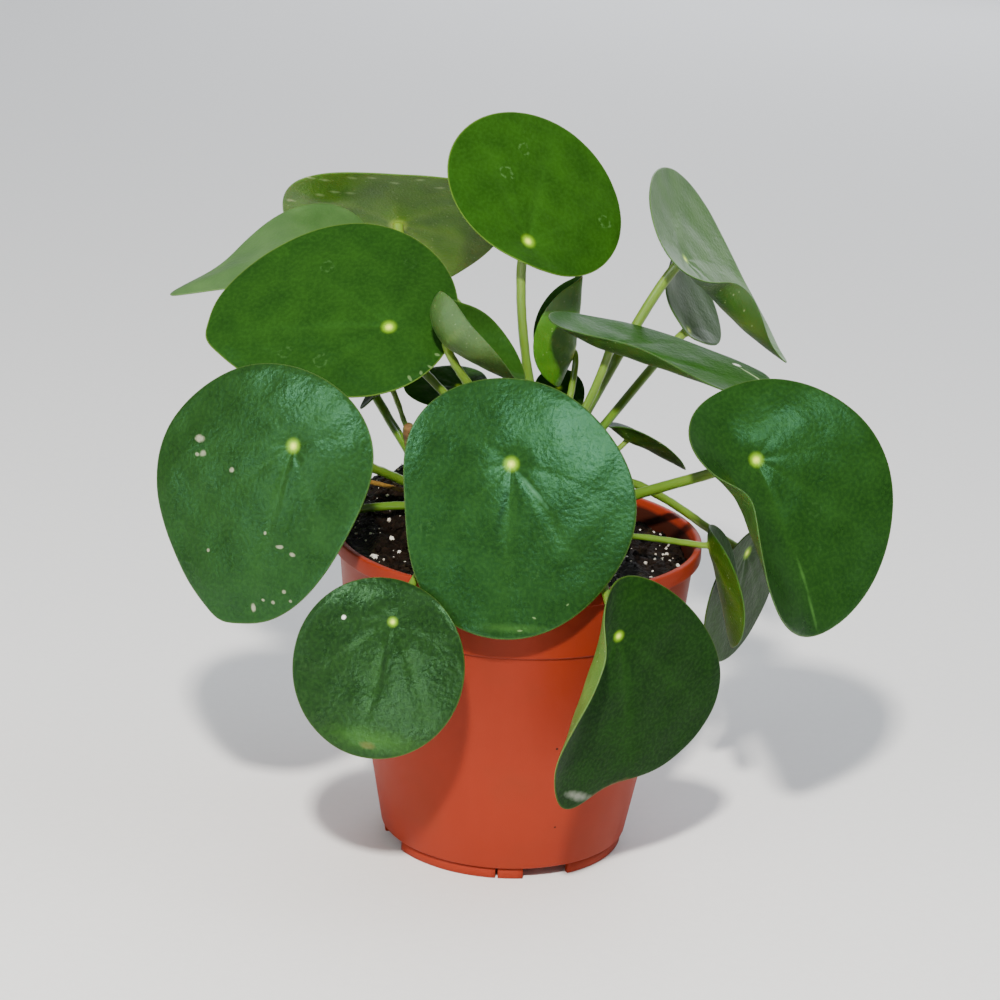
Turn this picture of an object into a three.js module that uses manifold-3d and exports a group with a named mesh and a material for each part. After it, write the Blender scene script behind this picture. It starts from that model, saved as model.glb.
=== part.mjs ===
// Potted Chinese money plant (Pilea peperomioides) in a plastic nursery pot.
//
// Millimetres, +Z up, the pot standing on z = 0. The front of the plant faces -Y and +X is its
// right-hand side. The plant's group is set off sideways so that the frame's origin lies under
// the middle of the whole plant's bounding box.

import * as THREE from 'three';
import { mergeVertices } from 'three/addons/utils/BufferGeometryUtils.js';
import Module from 'manifold-3d';

const wasm = await Module();
wasm.setup();

// ---------------------------------------------------------------- driving dimensions

// Clear space kept between two pieces that touch on the real plant.
const SEAT_GAP = 0.3;

// Where the pot's axis stands in the part's frame.
const POT_AXIS = { x: 0.1, y: 2 };

const POT = {
  rimRadius: 60,
  height: 105.5,
  wall: 1.2,
  lipHeight: 5,
  bandTopRadius: 57.8,
  stepHeight: 82,
  stepDepth: 0.9,
  bodyTopRadius: 55,
  bodyFootRadius: 40.8,
  footRadius: 39.6,
  footHeight: 4,
  footWidth: 1.8,
  floor: 1.4,
  edge: 0.6,
  groove: 0.4,
  segments: 48,
};

// Gaps in the foot ring that let water out: compass angle and width.
const FOOT_GAPS = [
  { angle: -68, width: 16 },
  { angle: 22, width: 16 },
  { angle: 112, width: 16 },
  { angle: 202, width: 16 },
];
const FOOT_SLITS = [{ angle: -92, width: 0.8 }];
const DRAIN_HOLES = { count: 4, radius: 4, circle: 29, sides: 12, firstAngle: -23 };

// How far a cutter runs past the wall that it cuts.
const CUT_MARGIN = 5;

const SOIL = {
  edgeHeight: 100,
  edgeTilt: 3,
  mound: { x: -28, y: 24, height: 17, spread: 20 },
  clod: 0.8,
  facetSlack: 0.4,
  rings: 6,
  segments: 36,
};

// Each stem leans from its foot in the soil to its growing tip.
const STEM_PROFILE = { waist: 0.6, shoulder: 0.9, crown: 0.5, dome: 0.4, sides: 12 };
const STEMS = {
  main: { foot: [9, 2, 100], tip: [10, 1, 134], footRadius: 6, tipRadius: 4 },
  left: { foot: [-27, -2, 104], tip: [-37, -3, 141], footRadius: 4, tipRadius: 2.6 },
};

// `rings` circles of `segments` corners. A ray's bend is followed in `steps` and a turned-up margin
// reaches its full slope at `crest` of the ray's length.
const BLADE = { thickness: 1, rings: 4, segments: 24, steps: 24, crest: 1.05 };
const PETIOLE = { sides: 7, steps: 9 };

// One entry for each leaf. `at` is where the petiole meets the blade's upper face. `heading` is the
// compass angle of the blade's tip (0 = +X, 90 = +Y, away from the front), `droop` how far the tip
// points below level, and `roll` lifts the blade's left side, seen from the petiole to the tip.
// `base` is the distance from the petiole joint to the rear margin and `shift` how far the blade
// lies to the left of the joint. `curl` is how far the blade has turned up from its joint to its
// tip, base, left and right margins, in degrees. Each of `folds` bends one side up about a line
// that starts `at` beside the joint, `slant` degrees off the blade's axis, and `over` wide. Each of
// `turnUps` bends a stretch of the margin up by `turn` degrees, from the part `start` of the way to
// it: `angle` is its place round the blade, with 0 at the tip and 90 at the left, and it fades
// over `width`. `bulges` set the margin out at such a place.
const LEAVES = [
  {
    name: 'top', at: [-1, 0, 202], heading: 82, droop: -39, roll: 32,
    length: 58, width: 63, base: 10, taper: 0, shift: 0,
    curl: { tip: 5, base: 10, left: -8, right: -8 },
    petiole: { stem: 'main', from: 129, angle: 190, rise: 65, reach: 28, neck: 8, diameter: 3 },
  },
  {
    name: 'back_left', at: [-45.1, 62.2, 192.4], heading: 92, droop: 49, roll: 0.5,
    length: 68.8, width: 73.3, base: 31.7, taper: 0.13, shift: 2,
    curl: { tip: -10, base: -14.8, left: 8, right: 4.5 },
    bulges: [
      { angle: 45, width: 32, out: 0.8 },
      { angle: 135, width: 32, out: 0.9 },
      { angle: 225, width: 32, out: 2.4 },
      { angle: 270, width: 32, out: 1.5 },
      { angle: 315, width: 32, out: -1.6 },
    ],
    petiole: { stem: 'main', from: 127, angle: 92, rise: 46, reach: 38, neck: 16, diameter: 3 },
  },
  {
    name: 'left_high', at: [-44, -7, 173.8], heading: 179, droop: 4, roll: -40.5,
    length: 80, width: 66.7, base: 21.3, taper: 0.18, shift: -7.2,
    curl: { tip: -12.8, base: -13.3, left: -9.4, right: -6.1 },
    bulges: [
      { angle: 14, width: 12, out: 1.2 },
      { angle: 90, width: 32, out: -2 },
      { angle: 180, width: 32, out: 1.2 },
      { angle: 270, width: 32, out: 2.1 },
    ],
    petiole: { stem: 'main', from: 116, angle: 178, rise: 45, reach: 25, neck: 8, diameter: 2.8 },
  },
  {
    name: 'left_far', at: [-72.4, 34.6, 189], heading: 186, droop: 11.4, roll: -14.5,
    length: 68.2, width: 43.2, base: 22, taper: 0.59, shift: 1.3,
    curl: { tip: -19, base: -10.4, left: 0.2, right: 21 },
    bulges: [
      { angle: 0, width: 24, out: 3 },
      { angle: 45, width: 32, out: -2 },
      { angle: 100, width: 40, out: -7 },
      { angle: 180, width: 32, out: -2.4 },
      { angle: 315, width: 32, out: -4 },
    ],
    petiole: { stem: 'left', from: 128, angle: 175, rise: 52, reach: 25, neck: 14, diameter: 3 },
  },
  {
    name: 'left_big', at: [-70.9, -40, 142.6], heading: -136, droop: 70, roll: -18.7,
    length: 82, width: 73.2, base: 23.6, taper: 0.22, shift: -8.5,
    curl: { tip: -12.7, base: -16.6, left: -13.3, right: -7.7 },
    bulges: [
      { angle: -4, width: 12, out: 1 },
      { angle: 45, width: 32, out: 1.8 },
      { angle: 90, width: 32, out: -2.7 },
      { angle: 135, width: 32, out: 2 },
      { angle: 225, width: 32, out: -2.7 },
      { angle: 270, width: 32, out: 2.3 },
    ],
    petiole: { stem: 'left', from: 118, angle: 190, rise: 30, reach: 20, neck: 12, diameter: 3 },
  },
  {
    name: 'front', at: [-3.3, -48.5, 142.9], heading: -89, droop: 66.5, roll: 0,
    length: 80, width: 72, base: 26.8, taper: 0.07, shift: 1.2,
    curl: { tip: -8.5, base: -12.3, left: -8.6, right: -12.7 },
    bulges: [
      { angle: 90, width: 32, out: 2.3 },
      { angle: 135, width: 32, out: -2.1 },
      { angle: 225, width: 32, out: 3.8 },
      { angle: 270, width: 32, out: -3.6 },
      { angle: 315, width: 32, out: 1.7 },
    ],
    petiole: { stem: 'main', from: 119, angle: -100, rise: 30, reach: 20, neck: 12, diameter: 3.2 },
  },
  {
    name: 'front_left_low', at: [-37, -68, 97], heading: -130, droop: 70, roll: -28,
    length: 56, width: 54, base: 13, taper: 0, shift: -1,
    curl: { tip: -10, base: -25, left: -10, right: -10 },
    petiole: { stem: 'main', from: 112, angle: -140, rise: 34, reach: 45, neck: 2, diameter: 2.6 },
  },
  {
    name: 'front_right_low', at: [32.3, -68, 95.6], heading: -135, droop: 104, roll: -79,
    length: 75.5, width: 64, base: 18.4, taper: -0.3, shift: 2.7,
    curl: { tip: -11, base: -25, left: 2, right: 7 },
    turnUps: [{ angle: -129, width: 43, start: 0.08, turn: 86 }],
    bulges: [
      { angle: -42, width: 16, out: 4 },
      { angle: -12, width: 18, out: -2 },
    ],
    petiole: { stem: 'main', from: 112, angle: -72, rise: 36, reach: 42, neck: 2, diameter: 2.6 },
  },
  {
    name: 'right_big', at: [73, -30, 142.6], heading: -33, droop: 60, roll: 40,
    length: 84, width: 70, base: 25.5, taper: 0, shift: 3,
    curl: { tip: -20, base: -36, left: -2, right: 6 },
    turnUps: [{ angle: -83, width: 52, start: -0.2, turn: 100 }],
    bulges: [{ angle: 100, width: 30, out: 3 }],
    petiole: { stem: 'main', from: 110, angle: -10, rise: 20, reach: 30, neck: 12, diameter: 3.4 },
  },
  {
    name: 'right_high', at: [50.8, 28, 192.6], heading: -27, droop: 52, roll: -11,
    length: 72.5, width: 58, base: 31, taper: 0.4, shift: 9,
    curl: { tip: 22, base: 23, left: 12, right: 5 },
    turnUps: [{ angle: -59, width: 23.5, start: 0.33, turn: 85 }],
    bulges: [{ angle: -8, width: 16, out: 5 }],
    petiole: { stem: 'main', from: 126, angle: 51, rise: 42, reach: 28, neck: 10, diameter: 3.4 },
  },
  {
    name: 'right_far', at: [54.6, 43, 165.2], heading: -77, droop: 35, roll: -42,
    length: 35, width: 39, base: 32, taper: -0.05, shift: 1.2,
    curl: { tip: 6, base: 8, left: 2, right: 3.5 },
    turnUps: [{ angle: -104, width: 48, start: 0.06, turn: 36 }],
    bulges: [
      { angle: 45, width: 32, out: 1 },
      { angle: 135, width: 32, out: 1 },
    ],
    petiole: { stem: 'main', from: 120, angle: 46, rise: 33, reach: 34, neck: 8, diameter: 3 },
  },
  {
    name: 'right_level', at: [26.8, 0.5, 169.7], heading: -1, droop: 12, roll: 8.5,
    length: 74, width: 40, base: 22, taper: 0.05, shift: 1.4,
    curl: { tip: -4, base: 17, left: 1, right: 16 },
    turnUps: [{ angle: -111, width: 36, start: 0.1, turn: 46 }],
    bulges: [
      { angle: 35, width: 20, out: 4.5 },
      { angle: 8, width: 12, out: 2 },
    ],
    petiole: { stem: 'main', from: 130, angle: -20, rise: 55, reach: 18, neck: 8, diameter: 2.8 },
  },
  {
    name: 'back_small', at: [14, 24, 160], heading: 0, droop: -80, roll: 0,
    length: 38, width: 34, base: 12, taper: 0.1, shift: 0,
    curl: { tip: 10, base: 10, left: 10, right: 10 },
    folds: [
      { side: 'left', at: 0, over: 8, turn: 70, slant: 0 },
      { side: 'right', at: 0, over: 8, turn: 70, slant: 0 },
    ],
    petiole: { stem: 'main', from: 118, angle: 72, rise: 66, reach: 12, neck: 3, diameter: 2.2 },
  },
  {
    name: 'young_folded', at: [-24.1, -16, 171.7], heading: 24, droop: 34, roll: 11,
    length: 46.3, width: 36.6, base: 19.3, taper: 0, shift: 0,
    curl: { tip: -5.5, base: 16.7, left: 11.6, right: -0.4 },
    turnUps: [
      { angle: -132, width: 73.5, start: 0.02, turn: 101 },
      { angle: 85, width: 74, start: -0.05, turn: 82 },
    ],
    bulges: [
      { angle: 0, width: 32, out: 1.7 },
      { angle: 45, width: 32, out: -0.5 },
      { angle: 135, width: 32, out: -1.2 },
      { angle: 180, width: 32, out: 1 },
      { angle: 315, width: 32, out: -0.7 },
    ],
    petiole: { stem: 'main', from: 125, angle: 205, rise: 38, reach: 26, neck: 2, diameter: 2.8 },
  },
  {
    name: 'young_shaded', at: [-22, 28, 146.5], heading: 180, droop: 5, roll: -20,
    length: 28, width: 24, base: 10, taper: 0.1, shift: 0,
    curl: { tip: 0, base: 0, left: -10, right: -10 },
    petiole: { stem: 'main', from: 117, angle: 140, rise: 45, reach: 10, neck: 5, diameter: 1.8 },
  },
  {
    name: 'young_back', at: [11.5, 32, 146], heading: -85, droop: 50, roll: 0,
    length: 20, width: 17, base: 7, taper: 0.1, shift: 0,
    curl: { tip: 0, base: 0, left: 10, right: 10 },
    petiole: { stem: 'main', from: 106, angle: 88, rise: 25, reach: 28, neck: 10, diameter: 1.6 },
  },
  {
    name: 'right_small', at: [35.5, 24, 132.5], heading: 0, droop: 27, roll: 0,
    length: 30, width: 24, base: 8, taper: 0.1, shift: 0,
    curl: { tip: 0, base: 0, left: 5, right: 5 },
    folds: [{ side: 'right', at: 0, over: 5, turn: 35, slant: 0 }],
    petiole: { stem: 'main', from: 116, angle: 40, rise: 30, reach: 8, neck: 5, diameter: 1.8 },
  },
  {
    name: 'right_narrow', at: [63, -10, 107.5], heading: 0, droop: 76, roll: 0,
    length: 41, width: 36, base: 6, taper: 0, shift: 0,
    curl: { tip: 0, base: 10, left: 5, right: 5 },
    folds: [
      { side: 'left', at: 0, over: 8, turn: 25, slant: 0 },
      { side: 'right', at: 0, over: 8, turn: 25, slant: 0 },
    ],
    petiole: { stem: 'main', from: 105, angle: -15, rise: 8, reach: 30, neck: 3, diameter: 2.1 },
  },
  {
    name: 'right_low', at: [77.5, 18, 95.5], heading: -35, droop: 100, roll: 0,
    length: 50, width: 44, base: 9, taper: 0.1, shift: 2,
    curl: { tip: 0, base: 0, left: 0, right: 0 },
    petiole: { stem: 'main', from: 112, angle: 8, rise: 58, reach: 35, neck: 20, diameter: 2.8 },
  },
  {
    name: 'left_small', at: [-44.5, -5, 155], heading: 185, droop: 48, roll: 0,
    length: 17, width: 13, base: 5, taper: 0.1, shift: 0,
    curl: { tip: 0, base: 0, left: 20, right: 20 },
    petiole: { stem: 'left', from: 136, angle: 150, rise: 55, reach: 6, neck: 3, diameter: 1.8 },
  },
  {
    name: 'left_hidden', at: [-76, -2, 112], heading: 190, droop: 50, roll: 0,
    length: 44, width: 40, base: 14, taper: 0.1, shift: 0,
    curl: { tip: -10, base: -10, left: -10, right: -10 },
    petiole: { stem: 'left', from: 113, angle: 185, rise: 4, reach: 20, neck: 10, diameter: 2.8 },
  },
];

// What is left of a leaf cut off the left stem: a dry petiole without its blade.
const OLD_PETIOLE = { stem: 'left', from: 116, angle: 155, rise: 8, length: 26, sag: 2, diameter: 2 };

const COLOUR = {
  pot: 0xb04a2c,
  soil: 0x1c1714,
  stem: 0x7a7240,
  blade: 0x2f6b24,
  petiole: 0x86a63a,
  oldPetiole: 0x6b4a2c,
};

// ---------------------------------------------------------------- geometry helpers

const radians = THREE.MathUtils.degToRad;

/** A geometry with only merged positions, which is what a solid needs. */
function bare(geometry) {
  const copy = geometry.clone();
  copy.deleteAttribute('normal');
  copy.deleteAttribute('uv');
  return mergeVertices(copy, 1e-4);
}

function toSolid(geometry) {
  const merged = bare(geometry);
  return new wasm.Manifold(new wasm.Mesh({
    numProp: 3,
    vertProperties: new Float32Array(merged.attributes.position.array),
    triVerts: new Uint32Array(merged.index.array),
  }));
}

function toGeometry(solid) {
  const mesh = solid.getMesh();
  const geometry = new THREE.BufferGeometry();
  geometry.setAttribute('position', new THREE.BufferAttribute(mesh.vertProperties, 3));
  geometry.setIndex(new THREE.BufferAttribute(mesh.triVerts, 1));
  const faceted = geometry.toNonIndexed();
  faceted.computeVertexNormals();
  return faceted;
}

/** A lathe about +Z from [radius, height] points that run from the foot of the axis to its top. */
function lathe(profile, segments) {
  const points = profile.map(([radius, height]) => new THREE.Vector2(radius, height));
  return new THREE.LatheGeometry(points, segments).rotateX(Math.PI / 2);
}

/** A round tube of the given diameter along a curve, with flat ends. */
function tube(curve, diameter, steps, sides) {
  const section = new THREE.Shape();
  for (let i = 0; i < sides; i += 1) {
    const turn = (2 * Math.PI * i) / sides;
    section[i ? 'lineTo' : 'moveTo'](
      (Math.cos(turn) * diameter) / 2,
      (Math.sin(turn) * diameter) / 2,
    );
  }
  section.closePath();
  return new THREE.ExtrudeGeometry(section, { extrudePath: curve, steps, bevelEnabled: false });
}

function material(colour, roughness) {
  return new THREE.MeshStandardMaterial({ color: colour, roughness, metalness: 0 });
}

function named(name, geometry, look) {
  const mesh = new THREE.Mesh(geometry, look);
  mesh.name = name;
  return mesh;
}

/** A unit vector from a compass angle and a rise above level, in degrees. */
function direction(angle, rise) {
  const level = Math.cos(radians(rise));
  return new THREE.Vector3(
    Math.cos(radians(angle)) * level,
    Math.sin(radians(angle)) * level,
    Math.sin(radians(rise)),
  );
}

// ---------------------------------------------------------------- pot

function potProfile() {
  const p = POT;
  const lipFoot = p.height - p.lipHeight;
  const rise = (p.bodyTopRadius - p.bodyFootRadius) / (p.stepHeight - p.footHeight);
  const floorTop = p.footHeight + p.floor;
  const bandFootRadius = p.bodyTopRadius + p.stepDepth;
  const footInside = p.footRadius - p.footWidth;
  return [
    [0, p.footHeight],
    [footInside, p.footHeight],
    [footInside, 0],
    [p.footRadius, 0],
    [p.footRadius, p.footHeight - p.groove],
    [p.bodyFootRadius, p.footHeight + p.groove],
    [p.bodyTopRadius, p.stepHeight],
    [bandFootRadius, p.stepHeight + p.groove],
    [p.bandTopRadius, lipFoot],
    [p.rimRadius - p.edge / 2, lipFoot],
    [p.rimRadius, lipFoot + p.edge],
    [p.rimRadius, p.height - p.edge],
    [p.rimRadius - p.edge, p.height],
    [p.bandTopRadius + p.edge, p.height],
    [p.bandTopRadius, p.height - p.edge],
    [p.bandTopRadius - p.wall, lipFoot],
    [bandFootRadius - p.wall, p.stepHeight + p.groove],
    [p.bodyTopRadius - p.wall, p.stepHeight - p.edge],
    [p.bodyFootRadius - p.wall + rise * p.floor, floorTop + p.wall],
    [p.bodyFootRadius - 2 * p.wall, floorTop],
    [0, floorTop],
  ];
}

function potGeometry() {
  const p = POT;
  const gapHeight = p.footHeight - p.groove;
  let solid = toSolid(lathe(potProfile(), p.segments));
  for (const gap of [...FOOT_GAPS, ...FOOT_SLITS]) {
    const centre = direction(gap.angle, 0).multiplyScalar(p.footRadius - p.footWidth / 2);
    const depth = p.footWidth + 2 * CUT_MARGIN;
    const cutter = new THREE.BoxGeometry(depth, gap.width, gapHeight + CUT_MARGIN);
    cutter.rotateZ(radians(gap.angle));
    cutter.translate(centre.x, centre.y, (gapHeight - CUT_MARGIN) / 2);
    solid = solid.subtract(toSolid(cutter));
  }
  const { count, radius, circle, sides, firstAngle } = DRAIN_HOLES;
  for (let i = 0; i < count; i += 1) {
    const centre = direction(firstAngle + (360 * i) / count, 0).multiplyScalar(circle);
    const drill = new THREE.CylinderGeometry(radius, radius, p.floor + CUT_MARGIN, sides);
    drill.rotateX(Math.PI / 2);
    drill.translate(centre.x, centre.y, p.footHeight + p.floor / 2);
    solid = solid.subtract(toSolid(drill));
  }
  return toGeometry(solid);
}

// ---------------------------------------------------------------- stems and soil

/** A stem tapers to a domed tip; `grow` makes it larger all over, for what has to clear it. */
function stemGeometry(stem, grow) {
  const foot = new THREE.Vector3(...stem.foot);
  const tip = new THREE.Vector3(...stem.tip);
  const length = foot.distanceTo(tip);
  const { waist, shoulder, crown, dome, sides } = STEM_PROFILE;
  const profile = [
    [0, -grow],
    [stem.footRadius + grow, -grow],
    [(stem.footRadius + stem.tipRadius) / 2 + grow, length * waist],
    [stem.tipRadius + grow, length * shoulder],
    [stem.tipRadius * crown + grow, length + grow],
    [0, length + grow + dome],
  ];
  const lean = new THREE.Quaternion().setFromUnitVectors(
    new THREE.Vector3(0, 0, 1),
    tip.clone().sub(foot).normalize(),
  );
  return lathe(profile, sides).applyQuaternion(lean).translate(foot.x, foot.y, foot.z);
}

const stemClearances = Object.fromEntries(
  Object.entries(STEMS).map(([name, stem]) => [name, toSolid(stemGeometry(stem, SEAT_GAP))]),
);

/** Height of the soil at a point: nearly level, lower on the right, with a mound left of centre. */
function soilHeight(x, y) {
  const { mound, edgeHeight, edgeTilt, clod } = SOIL;
  const away = Math.hypot(x - mound.x, y - mound.y) / mound.spread;
  const level = edgeHeight - (edgeTilt * x) / POT.rimRadius;
  const ripple = Math.sin(x * 0.9 + y * 0.4) * Math.cos(y * 0.8 - x * 0.3);
  return level + mound.height * Math.exp((-away * away) / 2) + clod * ripple;
}

/** The soil fills the pot; its profile stands off the pot's inside, whose facets cut the corners. */
function soilGeometry() {
  const p = POT;
  const off = p.wall + SEAT_GAP;
  const top = p.height - p.lipHeight;
  const edge = p.bandTopRadius - off - SOIL.facetSlack;
  const profile = [
    [0, p.footHeight + p.floor + SEAT_GAP],
    [p.bodyFootRadius - p.wall - off - SOIL.facetSlack, p.footHeight + p.floor + SEAT_GAP],
    [p.bodyTopRadius - off - SOIL.facetSlack, p.stepHeight - 1],
    [p.bodyTopRadius + p.stepDepth - off - SOIL.facetSlack, p.stepHeight + 1],
  ];
  for (let ring = SOIL.rings; ring >= 0; ring -= 1) profile.push([(edge * ring) / SOIL.rings, top]);
  const geometry = bare(lathe(profile, SOIL.segments));
  const position = geometry.attributes.position;
  for (let i = 0; i < position.count; i += 1) {
    const onTop = Math.abs(position.getZ(i) - top) < 1e-3;
    if (onTop) position.setZ(i, soilHeight(position.getX(i), position.getY(i)));
  }
  let solid = toSolid(geometry);
  for (const clearance of Object.values(stemClearances)) solid = solid.subtract(clearance);
  return toGeometry(solid);
}

// ---------------------------------------------------------------- leaves

/**
 * A point of the blade's middle surface, in the blade's own frame: x to the tip, y to the left.
 * The margin is an ellipse, narrowed towards the tip and set forward of the petiole joint. Each ray
 * from the joint to the margin is followed in short steps: its slope grows evenly to the ray's curl,
 * and further where the margin turns up. Then the folds turn the sides up.
 */
function bladePoint(leaf, ring, turn) {
  const half = leaf.length / 2;
  let bulge = 1;
  for (const wave of leaf.bulges ?? []) bulge += (wave.out / half) * bell(turn, wave);
  const marginX = bulge * (half - leaf.base + half * Math.cos(turn));
  const wide = (leaf.width / 2) * Math.sin(turn) * (1 - leaf.taper * Math.cos(turn));
  const marginY = bulge * (leaf.shift + wide);
  const reach = Math.hypot(marginX, marginY);
  const along = marginX / reach;
  const across = marginY / reach;
  const endCurl = along > 0 ? leaf.curl.tip : leaf.curl.base;
  const sideCurl = across > 0 ? leaf.curl.left : leaf.curl.right;
  const bend = radians(endCurl * along * along + sideCurl * across * across);
  const steps = Math.round(BLADE.steps * ring);
  const stride = (reach * ring) / steps;
  let outward = 0;
  let upward = 0;
  for (let i = 0; i < steps; i += 1) {
    const part = ((i + 0.5) / steps) * ring;
    let slope = bend * part;
    for (const lift of leaf.turnUps ?? []) {
      const grown = THREE.MathUtils.smoothstep(part, lift.start, BLADE.crest);
      slope += radians(lift.turn) * bell(turn, lift) * grown;
    }
    outward += stride * Math.cos(slope);
    upward += stride * Math.sin(slope);
  }
  const point = new THREE.Vector3(outward * along, outward * across, upward);
  for (const fold of leaf.folds ?? []) foldUp(point, fold);
  return point;
}

/** Bell-shaped share, at `turn` radians round the blade, of what is centred at `angle` degrees. */
function bell(turn, { angle, width }) {
  const ahead = THREE.MathUtils.radToDeg(turn) - angle;
  const off = THREE.MathUtils.euclideanModulo(ahead + 180, 360) - 180;
  return Math.exp(-((off / width) ** 2));
}

/** Bends what lies beyond a fold's line up, on an arc as wide as the fold and straight after it. */
function foldUp(point, fold) {
  const side = fold.side === 'left' ? 1 : -1;
  const slant = radians(fold.slant);
  const up = new THREE.Vector3(0, 0, 1);
  point.applyAxisAngle(up, side * slant);
  const beyond = side * point.y - fold.at;
  if (beyond > 0) {
    const total = radians(fold.turn);
    const angle = total * Math.min(beyond / fold.over, 1);
    const radius = fold.over / total;
    const straight = Math.max(beyond - fold.over, 0);
    const out = radius * Math.sin(angle) + straight * Math.cos(angle) - point.z * Math.sin(angle);
    const rise = radius * (1 - Math.cos(angle)) + straight * Math.sin(angle) + point.z * Math.cos(angle);
    point.y = side * (fold.at + out);
    point.z = rise;
  }
  point.applyAxisAngle(up, -side * slant);
}

/** The blade as a closed shell of even thickness about its middle surface. */
function bladeGeometry(leaf) {
  const { rings, segments, thickness } = BLADE;
  const middle = [new THREE.Vector3()];
  for (let ring = 1; ring <= rings; ring += 1) {
    for (let i = 0; i < segments; i += 1) {
      middle.push(bladePoint(leaf, ring / rings, (2 * Math.PI * i) / segments));
    }
  }
  const at = (ring, i) => (ring === 0 ? 0 : 1 + (ring - 1) * segments + (i % segments));
  const faces = [];
  for (let i = 0; i < segments; i += 1) {
    faces.push(at(0, 0), at(1, i), at(1, i + 1));
    for (let ring = 1; ring < rings; ring += 1) {
      faces.push(at(ring, i), at(ring + 1, i), at(ring + 1, i + 1));
      faces.push(at(ring, i), at(ring + 1, i + 1), at(ring, i + 1));
    }
  }
  const sheet = new THREE.BufferGeometry().setFromPoints(middle);
  sheet.setIndex(faces);
  sheet.computeVertexNormals();

  const normal = new THREE.Vector3();
  const skin = (side) => middle.map((point, i) => {
    normal.fromBufferAttribute(sheet.attributes.normal, i);
    return point.clone().addScaledVector(normal, (side * thickness) / 2);
  });
  const lower = middle.length;
  const closed = [...faces];
  for (let i = 0; i < faces.length; i += 3) {
    closed.push(lower + faces[i], lower + faces[i + 2], lower + faces[i + 1]);
  }
  for (let i = 0; i < segments; i += 1) {
    const here = at(rings, i);
    const next = at(rings, i + 1);
    closed.push(here, lower + here, lower + next);
    closed.push(here, lower + next, next);
  }
  const shell = new THREE.BufferGeometry().setFromPoints([...skin(1), ...skin(-1)]);
  shell.setIndex(closed);
  shell.computeVertexNormals();
  return shell;
}

/** The blade's own axes in the plant's frame: to the tip, to the left and out of the upper face. */
function bladeAxes(leaf) {
  const tip = direction(leaf.heading, -leaf.droop);
  const level = direction(leaf.heading + 90, 0);
  const upright = new THREE.Vector3().crossVectors(tip, level);
  const roll = radians(leaf.roll);
  const left = level.clone().multiplyScalar(Math.cos(roll)).addScaledVector(upright, Math.sin(roll));
  const normal = new THREE.Vector3().crossVectors(tip, left);
  return { tip, left, normal };
}

/** The point of a stem's axis at a height. */
function stemPoint(stem, height) {
  const { foot, tip } = STEMS[stem];
  const share = (height - foot[2]) / (tip[2] - foot[2]);
  return new THREE.Vector3(...foot).lerp(new THREE.Vector3(...tip), share);
}

/** The petiole leaves its stem at a slant and turns square to the blade's lower face. */
function petioleGeometry(leaf) {
  const { stem, from, angle, rise, reach, neck, diameter } = leaf.petiole;
  const root = stemPoint(stem, from);
  const { normal } = bladeAxes(leaf);
  const joint = new THREE.Vector3(...leaf.at).addScaledVector(normal, -BLADE.thickness - SEAT_GAP);
  const curve = new THREE.CubicBezierCurve3(
    root,
    root.clone().addScaledVector(direction(angle, rise), reach),
    joint.clone().addScaledVector(normal, -neck),
    joint,
  );
  const whole = toSolid(tube(curve, diameter, PETIOLE.steps, PETIOLE.sides));
  return toGeometry(whole.subtract(stemClearances[stem]));
}

/** The bare petiole sags from its root to its cut end. */
function oldPetioleGeometry() {
  const { stem, from, angle, rise, length, sag, diameter } = OLD_PETIOLE;
  const root = stemPoint(stem, from);
  const end = root.clone().addScaledVector(direction(angle, rise), length);
  const middle = root.clone().lerp(end, 0.5);
  end.z -= sag;
  const curve = new THREE.QuadraticBezierCurve3(root, middle, end);
  const whole = toSolid(tube(curve, diameter, PETIOLE.steps, PETIOLE.sides));
  return toGeometry(whole.subtract(stemClearances[stem]));
}

function leafMeshes(leaf, looks) {
  const { tip, left, normal } = bladeAxes(leaf);
  const blade = named(`leaf_${leaf.name}_blade`, bladeGeometry(leaf), looks.blade);
  blade.quaternion.setFromRotationMatrix(new THREE.Matrix4().makeBasis(tip, left, normal));
  blade.position.set(...leaf.at).addScaledVector(normal, -BLADE.thickness / 2);
  const petiole = named(`leaf_${leaf.name}_petiole`, petioleGeometry(leaf), looks.petiole);
  return [blade, petiole];
}

// ---------------------------------------------------------------- assembly

const looks = {
  pot: material(COLOUR.pot, 0.5),
  soil: material(COLOUR.soil, 0.95),
  stem: material(COLOUR.stem, 0.7),
  blade: material(COLOUR.blade, 0.45),
  petiole: material(COLOUR.petiole, 0.5),
  oldPetiole: material(COLOUR.oldPetiole, 0.8),
};

const plant = new THREE.Group();
plant.position.set(POT_AXIS.x, POT_AXIS.y, 0);
plant.add(named('pot', potGeometry(), looks.pot));
plant.add(named('soil', soilGeometry(), looks.soil));
for (const [name, stem] of Object.entries(STEMS)) {
  plant.add(named(`stem_${name}`, stemGeometry(stem, 0), looks.stem));
}
for (const leaf of LEAVES) plant.add(...leafMeshes(leaf, looks));
plant.add(named('old_petiole', oldPetioleGeometry(), looks.oldPetiole));

const part = new THREE.Group();
part.add(plant);

export default part;
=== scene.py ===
"""Potted Chinese money plant (Pilea peperomioides) in its plastic nursery pot.

The visual model in metres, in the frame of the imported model. Sizes in the classes below are in
millimetres from the pot's axis at its foot, with +Z up, the front towards -Y and +X to the right.
"""

import logging
import math
from dataclasses import dataclass, field
from enum import Enum
from typing import Any

import bmesh
import bpy
import numpy as np
from mathutils import Matrix, Vector


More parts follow.
